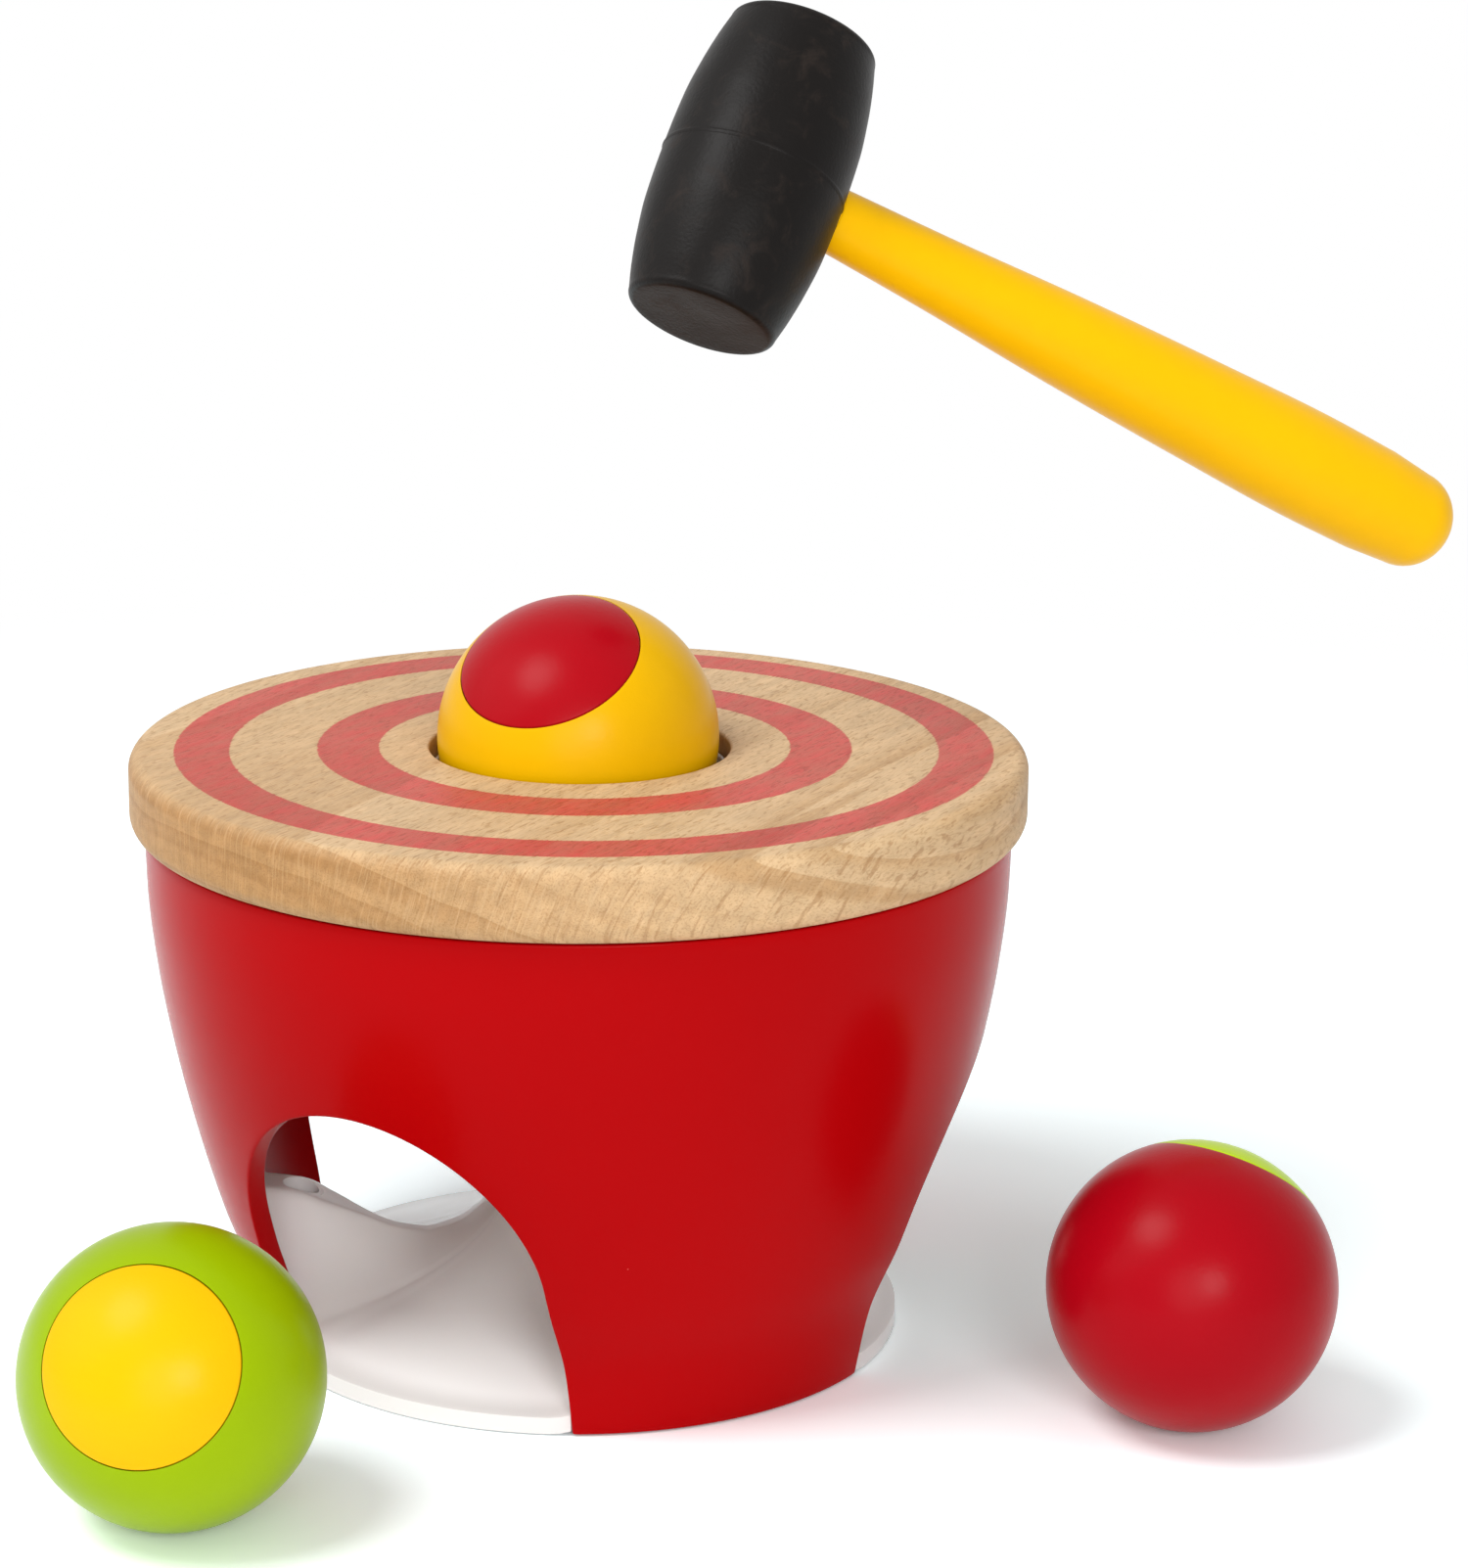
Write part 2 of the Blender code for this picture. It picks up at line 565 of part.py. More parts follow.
def ball(name, centre, cap_axis, ball_colour, cap_colour):
    """Ball with a flat-bottomed seat, and the domed cap let into it. Both turn about the centre."""
    cap_r = BALL_RADIUS * CAP_RADIUS_SHARE
    seat_r = cap_r + FIT_GAP
    rim_z = math.sqrt(BALL_RADIUS**2 - seat_r**2)
    floor = rim_z - CAP_SEAT_DEPTH
    profile = []
    stop = math.degrees(math.atan2(rim_z, seat_r + SEAT_EDGE_ROUND))
    profile += [(0.0, -BALL_RADIUS)] + arc(0.0, 0.0, BALL_RADIUS, -90, stop, BALL_RINGS)[1:]
    profile += [(seat_r, rim_z - SEAT_EDGE_ROUND), (seat_r, floor), (0.0, floor)]
    bm = lathe(profile, BALL_STEPS, False)
    turn(bm, cap_axis, Vector((0, 0, 0)))
    body = finish(name, bm)
    body.location = centre
    paint(body, name + "_lacquer", ball_colour, 0.35, 0.0)
    start = math.degrees(math.atan2(rim_z, cap_r - CAP_EDGE_ROUND))
    dome = arc(0.0, 0.0, BALL_RADIUS, start, 90, CAP_RINGS)
    profile = [(0.0, floor + FIT_GAP), (cap_r, floor + FIT_GAP), (cap_r, rim_z - CAP_EDGE_ROUND)]
    profile += dome[:-1] + [(0.0, BALL_RADIUS)]
    bm = lathe(profile, BALL_STEPS, False)
    turn(bm, cap_axis, Vector((0, 0, 0)))
    cap = finish(name + "_cap", bm)
    cap.parent = body
    paint(cap, name + "_cap_lacquer", cap_colour, 0.35, 0.0)
    return body


def mallet():
    """Barrel-shaped rubber head with a blind socket, and a turned handle pressed into it."""
    axis = HEAD_AXIS_SHARES.normalized()
    along = HANDLE_AXIS_SHARES.normalized()
    half = HEAD_HALF_LENGTH
    rim_r = HEAD_RIM - HEAD_RIM_ROUND
    end = arc(rim_r, half - HEAD_RIM_ROUND, HEAD_RIM_ROUND, 0, 90, FILLET_STEPS - 1)
    shoulder = (HEAD_BELLY * HEAD_SHOULDER_SHARE, half * HEAD_SHOULDER_AT_SHARE)
    upper = [(HEAD_BELLY, 0.0), shoulder] + end
    lower = [(r, -z) for r, z in reversed(upper[1:])]
    profile = [(0.0, -half)] + lower + upper + [(0.0, half)]
    bm = lathe(profile, BALL_STEPS, False)
    turn(bm, axis, HEAD_CENTRE)
    head = finish("mallet_head", bm)
    socket = bmesh.new()
    depth = TENON_PAST_CENTRE + SOCKET_GAP
    add_rod(socket, NECK_RADIUS + SOCKET_GAP, -depth, 2 * HEAD_BELLY, 0, 0, HANDLE_STEPS)
    turn(socket, along, HEAD_CENTRE)
    boolean(head, finish("cut_socket", socket, False), "DIFFERENCE")
    paint(head, "black_rubber", (0.02, 0.02, 0.02), 0.6, 0.0)
    tenon = NECK_RADIUS - TENON_STEP
    neck = HEAD_BELLY - NECK_INSET
    profile = [(0.0, -TENON_PAST_CENTRE), (tenon, -TENON_PAST_CENTRE)]
    for place, swell in zip(HANDLE_PLACE_SHARES, HANDLE_SWELL_SHARES):
        profile.append((NECK_RADIUS + (GRIP_RADIUS - NECK_RADIUS) * swell,
                        neck + (HANDLE_LENGTH - neck) * place))
    for i in range(HANDLE_END_STEPS):
        a = math.pi / 2 * i / HANDLE_END_STEPS
        profile.append((HANDLE_END_RADIUS * math.cos(a),
                        HANDLE_LENGTH - HANDLE_END_LENGTH + HANDLE_END_LENGTH * math.sin(a)))
    profile.append((0.0, HANDLE_LENGTH))
    bm = lathe(profile, HANDLE_STEPS, False)
    turn(bm, along, HEAD_CENTRE)
    handle = finish("mallet_handle", bm)
    paint(handle, "yellow_lacquer", (0.95, 0.60, 0.01), 0.3, 0.0)


top_disc()
tub()
chute()
grip_ring()
screws()
ball("yellow_ball", YELLOW_CENTRE, YELLOW_CAP_SHARES, (0.85, 0.45, 0.0), (0.45, 0.0, 0.02))
ball("green_ball", GREEN_CENTRE, GREEN_CAP_SHARES, (0.36, 0.52, 0.0), (0.95, 0.60, 0.01))
ball("red_ball", RED_CENTRE, RED_CAP_SHARES, (0.42, 0.0, 0.01), (0.40, 0.65, 0.0))
mallet()
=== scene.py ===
# Ball pounding bench, dressed for its picture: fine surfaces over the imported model, finishes, light, camera.
# Metres in the model's own frame, +Z up. The front arch faces -Y.
import bmesh
import bpy
import json
import math
from mathutils import Matrix, Vector


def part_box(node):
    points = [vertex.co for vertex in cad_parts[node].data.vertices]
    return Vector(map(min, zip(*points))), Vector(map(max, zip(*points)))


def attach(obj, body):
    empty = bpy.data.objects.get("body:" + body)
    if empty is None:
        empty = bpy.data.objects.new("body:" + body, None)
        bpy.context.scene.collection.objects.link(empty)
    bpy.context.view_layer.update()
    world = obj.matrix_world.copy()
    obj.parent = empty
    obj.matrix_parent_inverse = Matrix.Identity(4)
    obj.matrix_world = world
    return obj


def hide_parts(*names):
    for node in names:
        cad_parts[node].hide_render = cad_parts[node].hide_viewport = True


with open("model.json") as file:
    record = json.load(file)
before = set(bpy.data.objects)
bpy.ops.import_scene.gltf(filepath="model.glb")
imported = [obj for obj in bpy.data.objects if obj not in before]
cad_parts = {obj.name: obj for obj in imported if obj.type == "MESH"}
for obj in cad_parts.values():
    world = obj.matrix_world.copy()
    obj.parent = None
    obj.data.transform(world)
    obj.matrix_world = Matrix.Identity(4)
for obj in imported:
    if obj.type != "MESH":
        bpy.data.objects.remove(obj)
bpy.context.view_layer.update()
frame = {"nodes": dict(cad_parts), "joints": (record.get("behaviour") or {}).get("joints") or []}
print("frame loaded,", len(frame["nodes"]), "nodes")

third = math.tau / 3
fineMerge = 0.000001                   # metres between points that a spin leaves twice
gridMerge = 0.00001                    # the same for grids that meet
carveMerge = 0.0000004                 # the same after a cut

cameraSettings = {
    "place": Vector((0.404424, -0.647214, 0.305728)),
    "forward": Vector((-0.4818, 0.8370, -0.2595)),
    "up": Vector((-0.1387, 0.2196, 0.9657)),
    "lens": 101.12,
    "sensor": 36.0,
    "clip": (0.01, 50.0),
}


def addObject(name, data):
    obj = bpy.data.objects.new(name, data)
    bpy.context.scene.collection.objects.link(obj)
    return obj


def makeCamera(settings):
    data = bpy.data.cameras.new("photoCamera")
    data.lens = settings["lens"]
    data.sensor_width = settings["sensor"]
    data.clip_start, data.clip_end = settings["clip"]
    ahead = settings["forward"].normalized()
    right = ahead.cross(settings["up"]).normalized()
    up = right.cross(ahead)
    turn = Matrix((right, up, -ahead)).transposed().to_4x4()
    camera = addObject("photoCamera", data)
    camera.matrix_world = Matrix.Translation(settings["place"]) @ turn
    bpy.context.scene.camera = camera


makeCamera(cameraSettings)
print("camera set")


# Small tools for profiles and meshes

def arcPoints(centre, radius, start, stop, steps):
    points = []
    for i in range(steps + 1):
        angle = math.radians(start + (stop - start) * i / steps)
        points.append((centre[0] + radius * math.cos(angle), centre[1] + radius * math.sin(angle)))
    return points


def smoothThrough(xs, ys, x):
    # smooth curve through the points that never overshoots them
    count = len(xs)
    if x <= xs[0]:
        return ys[0]
    if x >= xs[-1]:
        return ys[-1]
    rises = [(ys[i + 1] - ys[i]) / (xs[i + 1] - xs[i]) for i in range(count - 1)]
    slopes = [rises[0]]
    for before, after in zip(rises, rises[1:]):
        if before * after <= 0:
            slopes.append(0.0)
        else:
            slopes.append(2 * before * after / (before + after))
    slopes.append(rises[-1])
    k = 0
    while x > xs[k + 1]:
        k += 1
    wide = xs[k + 1] - xs[k]
    t = (x - xs[k]) / wide
    near = (2 * t**3 - 3 * t**2 + 1) * ys[k] + (t**3 - 2 * t**2 + t) * wide * slopes[k]
    far = (3 * t**2 - 2 * t**3) * ys[k + 1] + (t**3 - t**2) * wide * slopes[k + 1]
    return near + far


def outAt(angle, radius, z=0.0):
    # the point at an angle from the front arch, a radius out and z up
    return Vector((radius * math.sin(angle), -radius * math.cos(angle), z))


def softStep(low, high, x):
    t = min(1.0, max(0.0, (x - low) / (high - low)))
    return t * t * (3 - 2 * t)


def weld(bm, distance):
    # merge doubles and turn the faces outwards
    bmesh.ops.remove_doubles(bm, verts=bm.verts, dist=distance)
    bmesh.ops.recalc_face_normals(bm, faces=bm.faces)


def thicken(bm):
    # give the sheet a second side and return that side's points, which still have to be moved
    grown = bmesh.ops.extrude_face_region(bm, geom=list(bm.faces))["geom"]
    return [item for item in grown if isinstance(item, bmesh.types.BMVert)]


def spinProfile(profile, steps, ring=False):
    # turn a list of (radius, height) about Z
    bm = bmesh.new()
    verts = [bm.verts.new((r, 0.0, z)) for r, z in profile]
    edges = [bm.edges.new(pair) for pair in zip(verts, verts[1:])]
    if ring:
        edges.append(bm.edges.new((verts[-1], verts[0])))
    bmesh.ops.spin(bm, geom=verts + edges, cent=(0, 0, 0), axis=(0, 0, 1), dvec=(0, 0, 0),
                   angle=math.tau, steps=steps, use_merge=True, use_duplicate=False)
    weld(bm, fineMerge)
    return bm


def aimAlong(bm, direction, place):
    # turn +Z onto the direction and move to the place
    turn = direction.normalized().to_track_quat("Z", "Y").to_matrix().to_4x4()
    bmesh.ops.transform(bm, matrix=Matrix.Translation(place) @ turn, verts=bm.verts)


def roundSharpEdges(bm, width, segments, sharpness=50):
    limit = math.radians(sharpness)
    edges = [edge for edge in bm.edges if len(edge.link_faces) == 2 and edge.calc_face_angle(0.0) > limit]
    bmesh.ops.bevel(bm, geom=edges, offset=width, offset_type="OFFSET", segments=segments, profile=0.5,
                    affect="EDGES", clamp_overlap=True, material=-1)


def turnAboutZ(bm, angle, verts):
    bmesh.ops.rotate(bm, cent=(0, 0, 0), matrix=Matrix.Rotation(angle, 3, "Z"), verts=verts)


def meshFrom(name, bm):
    mesh = bpy.data.meshes.new(name)
    bm.to_mesh(mesh)
    bm.free()
    return mesh


def gather(bm, part):
    # add another bmesh to this one and free it
    mesh = meshFrom("gathered", part)
    bm.from_mesh(mesh)
    bpy.data.meshes.remove(mesh)


def carve(bm, cutter):
    # take the cutter out of the solid and give back a fresh bmesh
    objects = [addObject("carving", meshFrom("carving", part)) for part in (bm, cutter)]
    body, tool = objects
    cut = body.modifiers.new("cut", "BOOLEAN")
    cut.operation = "DIFFERENCE"
    cut.solver = "EXACT"
    cut.object = tool
    done = bpy.data.meshes.new_from_object(body.evaluated_get(bpy.context.evaluated_depsgraph_get()))
    result = bmesh.new()
    result.from_mesh(done)
    for obj in objects:
        old = obj.data
        bpy.data.objects.remove(obj)
        bpy.data.meshes.remove(old)
    bpy.data.meshes.remove(done)
    bmesh.ops.remove_doubles(result, verts=result.verts, dist=carveMerge)
    bmesh.ops.triangulate(result, faces=[face for face in result.faces if len(face.verts) > 4])
    bmesh.ops.dissolve_degenerate(result, edges=result.edges, dist=carveMerge)
    return result


def finishPiece(name, bm, body, nodes, materials, sharp=38):
    mesh = meshFrom(name, bm)
    if not mesh.polygons:
        raise RuntimeError(name + " has no faces")
    mesh.shade_smooth()
    mesh.set_sharp_from_angle(angle=math.radians(sharp))
    for material in materials:
        mesh.materials.append(material)
    obj = addObject(name, mesh)
    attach(obj, body)
    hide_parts(*nodes)


# Small tools for materials

def addNode(tree, kind, inputs=None, **settings):
    node = tree.nodes.new(kind)
    for key, value in settings.items():
        setattr(node, key, value)
    for key, value in (inputs or {}).items():
        if isinstance(value, bpy.types.NodeSocket):
            tree.links.new(value, node.inputs[key])
        else:
            node.inputs[key].default_value = value
    return node


def calc(tree, operation, a, b=0.0, c=0.0, clamp=False):
    inputs = {0: a, 1: b, 2: c}
    return addNode(tree, "ShaderNodeMath", inputs, operation=operation, use_clamp=clamp).outputs[0]


def times(tree, a, b):
    return calc(tree, "MULTIPLY", a, b)


def timesPlus(tree, a, b, c):
    return calc(tree, "MULTIPLY_ADD", a, b, c)


def vectorCalc(tree, operation, a, b=(0.0, 0.0, 0.0), output="Vector"):
    return addNode(tree, "ShaderNodeVectorMath", {0: a, 1: b}, operation=operation).outputs[output]


def apartAt(tree, vector):
    return addNode(tree, "ShaderNodeSeparateXYZ", {0: vector}).outputs


def offAxis(tree, a, b):
    # how far a point at a and b is from the axis
    return calc(tree, "SQRT", timesPlus(tree, a, a, times(tree, b, b)))


def blendColour(tree, factor, a, b, mode="MIX"):
    inputs = {0: factor, 6: a, 7: b}
    return addNode(tree, "ShaderNodeMix", inputs, data_type="RGBA", blend_type=mode).outputs[2]


def toned(tree, colour, level):
    # the colour times a grey
    grey = addNode(tree, "ShaderNodeCombineXYZ", {0: level, 1: level, 2: level}).outputs[0]
    return blendColour(tree, 1.0, colour, grey, "MULTIPLY")


def softMask(tree, value, low, high, fromValue=0.0, toValue=1.0):
    inputs = {0: value, 1: low, 2: high, 3: fromValue, 4: toValue}
    return addNode(tree, "ShaderNodeMapRange", inputs, interpolation_type="SMOOTHSTEP").outputs[0]


def noiseAt(tree, vector, scale, detail=2.0, roughness=0.5, warp=0.0, output=0):
    inputs = {"Vector": vector, "Scale": scale, "Detail": detail, "Roughness": roughness, "Distortion": warp}
    return addNode(tree, "ShaderNodeTexNoise", inputs).outputs[output]


def stretch(tree, vector, scale, turn=(0.0, 0.0, 0.0), shift=(0.0, 0.0, 0.0)):
    inputs = {"Vector": vector, "Scale": scale, "Rotation": turn, "Location": shift}
    return addNode(tree, "ShaderNodeMapping", inputs).outputs[0]


def newGroup(name, numbers, outputs):
    # a group that takes a vector and these numbers, and gives numbers out
    tree = bpy.data.node_groups.new(name, "ShaderNodeTree")
    tree.interface.new_socket("Vector", in_out="INPUT", socket_type="NodeSocketVector")
    for labels, side in ((numbers, "INPUT"), (outputs, "OUTPUT")):
        for label in labels:
            tree.interface.new_socket(label, in_out=side, socket_type="NodeSocketFloat")
    entry = tree.nodes.new("NodeGroupInput")
    leave = tree.nodes.new("NodeGroupOutput")
    return tree, entry.outputs, leave.inputs


def placeGroup(tree, group, vector, numbers=()):
    # the group's outputs, with its numbers given in their order
    inputs = dict(enumerate((vector, *numbers)))
    return addNode(tree, "ShaderNodeGroup", inputs, node_tree=group).outputs


def makeHandlingGroup():
    # slow changes of tone and gloss over a piece, as hands and moulding leave them
    tree, given, out = newGroup("handling", ("Scale", "Tone", "Gloss"), ("Tone", "Gloss"))
    elsewhere = stretch(tree, given["Vector"], (1.7, 1.7, 1.7), shift=(0.3, 0.1, 0.7))
    changes = (("Tone", given["Vector"], 3.0, 0.55, 1.0), ("Gloss", elsewhere, 4.0, 0.6, 0.0))
    for name, vector, detail, roughness, middle in changes:
        level = noiseAt(tree, vector, given["Scale"], detail, roughness)
        centred = calc(tree, "SUBTRACT", level, 0.5)
        tree.links.new(timesPlus(tree, centred, given[name], middle), out[name])
    return tree


def makeSpeckleGroup():
    # scattered specks of dust and small dents
    tree, given, out = newGroup("speckle", ("Scale", "Size", "Share"), ("Mask",))
    cells = addNode(tree, "ShaderNodeTexVoronoi", {"Vector": given["Vector"], "Scale": given["Scale"]})
    core = times(tree, given["Size"], 0.4)
    near = softMask(tree, cells.outputs["Distance"], given["Size"], core)
    pick = addNode(tree, "ShaderNodeSeparateColor", {0: cells.outputs["Color"]}).outputs[0]
    chosen = calc(tree, "LESS_THAN", pick, given["Share"])
    tree.links.new(times(tree, near, chosen), out["Mask"])
    return tree


def makeSkinGroup():
    # the fine unevenness of a sprayed or moulded surface
    tree, given, out = newGroup("skin", ("Fine", "Broad", "Share"), ("Height",))
    fine, broad = (noiseAt(tree, given["Vector"], given[name]) for name in ("Fine", "Broad"))
    inputs = {0: given["Share"], 2: fine, 3: broad}
    tree.links.new(addNode(tree, "ShaderNodeMix", inputs, data_type="FLOAT").outputs[0], out["Height"])
    return tree


handling = makeHandlingGroup()
speckle = makeSpeckleGroup()
skin = makeSkinGroup()


# The finishes have tuples for these groups, where a scale is how often it changes in a metre:
# handling (scale, change of tone, change of gloss), skin (fine scale, broad scale, the broad one's share)
# and specks (scale, size, share of places that have one)

def newMaterial(name, settings):
    material = bpy.data.materials.new(name)
    material.use_nodes = True
    tree = material.node_tree
    where = addNode(tree, "ShaderNodeTexCoord").outputs["Object"]
    return material, tree, where, placeGroup(tree, handling, where, settings["handling"])


def finishMaterial(material, colour, tone, height, settings, marks=None):
    # join it to the shader; marks is a mask where the roughness differs
    tree = material.node_tree
    shader = tree.nodes["Principled BSDF"]
    rough = calc(tree, "ADD", tone["Gloss"], settings["roughness"])
    if marks:
        rough = timesPlus(tree, marks, settings["markRoughness"], rough)
    bumped = {"Height": height, "Distance": settings["relief"], "Strength": settings.get("strength", 1.0)}
    bump = addNode(tree, "ShaderNodeBump", bumped).outputs[0]
    for key, value in (("Base Color", colour), ("Roughness", rough), ("Normal", bump)):
        tree.links.new(value, shader.inputs[key])
    shader.inputs["Specular IOR Level"].default_value = settings["specular"]
    shader.inputs["Metallic"].default_value = settings.get("metallic", 0.0)
    return material


print("shader groups built")


# Beech: growth bands about a heart below the board, rays standing out from it, fine pores along the grain

beechSettings = {
    "grainTurn": 92.0,                 # degrees from +X to the grain
    "heart": (38.0, -90.0),            # mm across the grain and up, where the tree's middle was
    "arcRadius": 195.0,                # mm: a turn about the heart counts as an arc of this radius
    "bandSpacing": 5.4,                # mm
    "bandDrift": 2.4,                  # bands
    "bandEdges": ((0.50, 0.94), (1.0, 0.96)),
    "faintestBand": 0.25,
    "faceGleam": 0.3,                  # of the gleam on the end grain
    "waver": (0.0, 6.0, 6.0),          # mm
    "early": (0.628, 0.434, 0.244, 1.0),
    "late": (0.445, 0.255, 0.108, 1.0),
    "ray": (0.340, 0.175, 0.066, 1.0),
    "pore": (0.370, 0.205, 0.086, 1.0),
    "gleam": (0.720, 0.530, 0.330, 1.0),
    "shares": (0.62, 0.40, 0.55, 0.48),     # of late wood, pores, gleam and rays
    # The end grain's tint is partly real end grain and partly painted shade: its middle is turned 20 degrees
    # off the grain's end towards -X, so that it also shades the disc side's left as the camera sees it.
    "endGrainAndShadeTurn": -108.0,                 # degrees from +X to the middle of the end grain's tint, 20 degrees off the grain's end towards -X
    "endGrainAndShadeTint": (0.68, 0.55, 0.40, 1.0),
    "endRayLoss": 0.75,
    "stainTint": (0.842, 0.150, 0.222, 1.0),
    "mottle": (0.2, 0.8, 0.85, 1.0),   # from these levels of cloud to these shares of stain
    "cloudTone": (0.25, 0.75, 0.90, 1.08),
    "printedTo": (0.6, 0.8),           # the normal's upward part where the print sets in
    "stainBleed": 0.00025,
    "bleedMiddle": 0.3,
    "stainSoft": 0.00016,
    "ringEdges": ((0.0367, 0.0477), (0.0632, 0.0730)),
    "ringShift": (0.0008, 0.0004),     # the print sits a little off the disc's middle
    "handling": (26.0, 0.16, 0.12),
    "roughness": 0.50,
    "markRoughness": -0.05,            # the stain is a little glossier
    "specular": 0.12,
    "relief": 0.00005,
    "rayRelief": 0.6,                  # of the pores' relief
    "strength": 0.7,
}

# how often each figure changes in a mm along the grain, around the heart and out from it, its noise's detail
# and roughness, and the values between which it sets in
beechFigures = {
    "slow": ((0.006, 0.024, 0.024), 2.0, 0.5, None),
    "spacing": ((0.002, 0.004, 0.21), 1.0, 0.5, None),
    "strength": ((0.001, 0.002, 0.12), 0.0, 0.5, (0.35, 0.65)),
    "rays": ((0.40, 1.9, 0.10), 1.0, 0.4, (0.58, 0.69)),
    "pores": ((0.26, 3.7, 3.7), 2.0, 0.6, (0.49, 0.66)),
    "cloud": ((0.10, 0.42, 0.42), 3.0, 0.6, None),
    "gleam": ((0.30, 3.0, 0.13), 1.0, 0.4, (0.52, 0.66)),
}


def beechFigure(tree, vector, name, shift=(0.0, 0.0, 0.0), output=0):
    scale, detail, roughness, edges = beechFigures[name]
    level = noiseAt(tree, stretch(tree, vector, scale, shift=shift), 1.0, detail, roughness, output=output)
    return softMask(tree, level, *edges) if edges else level


def makeBeechGroup(settings):
    tree, given, out = newGroup("beechFigure", (), ("Bands", "Rays", "Gleam", "Pores", "Cloud", "End"))
    grain = (0.0, 0.0, -math.radians(settings["grainTurn"]))
    turned = stretch(tree, given["Vector"], (1000.0,) * 3, grain)
    centred = vectorCalc(tree, "SUBTRACT", beechFigure(tree, turned, "slow", output="Color"), (0.5, 0.5, 0.5))
    bent = vectorCalc(tree, "ADD", turned, vectorCalc(tree, "MULTIPLY", centred, settings["waver"]))
    apart = apartAt(tree, bent)
    across = calc(tree, "SUBTRACT", apart[1], settings["heart"][0])
    above = calc(tree, "SUBTRACT", apart[2], settings["heart"][1])
    outward = offAxis(tree, across, above)
    around = times(tree, calc(tree, "ARCTAN2", across, above), settings["arcRadius"])
    polar = addNode(tree, "ShaderNodeCombineXYZ", {0: apart[0], 1: around, 2: outward}).outputs[0]

    count = calc(tree, "DIVIDE", outward, settings["bandSpacing"])
    phase = timesPlus(tree, beechFigure(tree, polar, "spacing"), settings["bandDrift"], count)
    cycle = calc(tree, "FRACT", phase)
    rising, falling = settings["bandEdges"]
    dark = times(tree, softMask(tree, cycle, *rising), softMask(tree, cycle, *falling))
    faintest, faceGleam = settings["faintestBand"], settings["faceGleam"]
    weight = timesPlus(tree, beechFigure(tree, polar, "strength"), 1 - faintest, faintest)
    tree.links.new(times(tree, dark, weight), out["Bands"])

    # mask of the end grain's tint, partly real end grain and partly painted shade turned towards -X
    turn = math.radians(settings["endGrainAndShadeTurn"])
    normal = addNode(tree, "ShaderNodeNewGeometry").outputs["Normal"]
    facing = vectorCalc(tree, "DOT_PRODUCT", normal, (math.cos(turn), math.sin(turn), 0.0), "Value")
    end = calc(tree, "MULTIPLY", facing, facing, clamp=True)
    tree.links.new(end, out["End"])

    fewer = timesPlus(tree, end, -settings["endRayLoss"], 1.0)
    tree.links.new(times(tree, beechFigure(tree, polar, "rays"), fewer), out["Rays"])
    tree.links.new(beechFigure(tree, polar, "pores"), out["Pores"])
    tree.links.new(beechFigure(tree, turned, "cloud"), out["Cloud"])
    shown = timesPlus(tree, end, 1 - faceGleam, faceGleam)
    gleam = beechFigure(tree, polar, "gleam", (3.0, 7.0, 5.0))
    tree.links.new(times(tree, gleam, shown), out["Gleam"])
    return tree


def stainRings(tree, where, figure, settings):
    # where the two rings are printed: on the disc's top only, a little ragged at the pores
    shift = tuple(-value for value in settings["ringShift"]) + (0.0,)
    apart = apartAt(tree, stretch(tree, where, (1.0,) * 3, shift=shift))
    ragged = calc(tree, "SUBTRACT", figure["Pores"], settings["bleedMiddle"])
    off = timesPlus(tree, ragged, settings["stainBleed"], offAxis(tree, apart[0], apart[1]))
    soft = settings["stainSoft"]
    bands = []
    for inner, outer in settings["ringEdges"]:
        pastInner = softMask(tree, off, inner - soft, inner + soft)
        beforeOuter = softMask(tree, off, outer + soft, outer - soft)
        bands.append(times(tree, pastInner, beforeOuter))
    upward = apartAt(tree, addNode(tree, "ShaderNodeNewGeometry").outputs["Normal"])[2]
    printed = softMask(tree, upward, *settings["printedTo"])
    return times(tree, calc(tree, "MAXIMUM", *bands), printed)


def makeBeech(settings):
    material, tree, where, tone = newMaterial("beechStained", settings)
    figure = placeGroup(tree, makeBeechGroup(settings), where)
    colour = settings["early"]
    figures = zip(("Bands", "Pores", "Gleam", "Rays"), settings["shares"], ("late", "pore", "gleam", "ray"))
    for name, share, tint in figures:
        colour = blendColour(tree, times(tree, figure[name], share), colour, settings[tint])
    # partly painted shade: the end grain's tint, turned so that it also shades the disc side's left
    endGrainAndShadeColour = blendColour(tree, 1.0, colour, settings["endGrainAndShadeTint"], "MULTIPLY")
    colour = blendColour(tree, figure["End"], colour, endGrainAndShadeColour)
    colour = toned(tree, colour, softMask(tree, figure["Cloud"], *settings["cloudTone"]))
    colour = toned(tree, colour, tone["Tone"])
    inked = stainRings(tree, where, figure, settings)
    mottled = softMask(tree, figure["Cloud"], *settings["mottle"])
    tinted = blendColour(tree, mottled, colour, settings["stainTint"], "MULTIPLY")
    colour = blendColour(tree, inked, colour, tinted)
    grooves = timesPlus(tree, figure["Rays"], settings["rayRelief"], figure["Pores"])
    return finishMaterial(material, colour, tone, times(tree, grooves, -1.0), settings, inked)


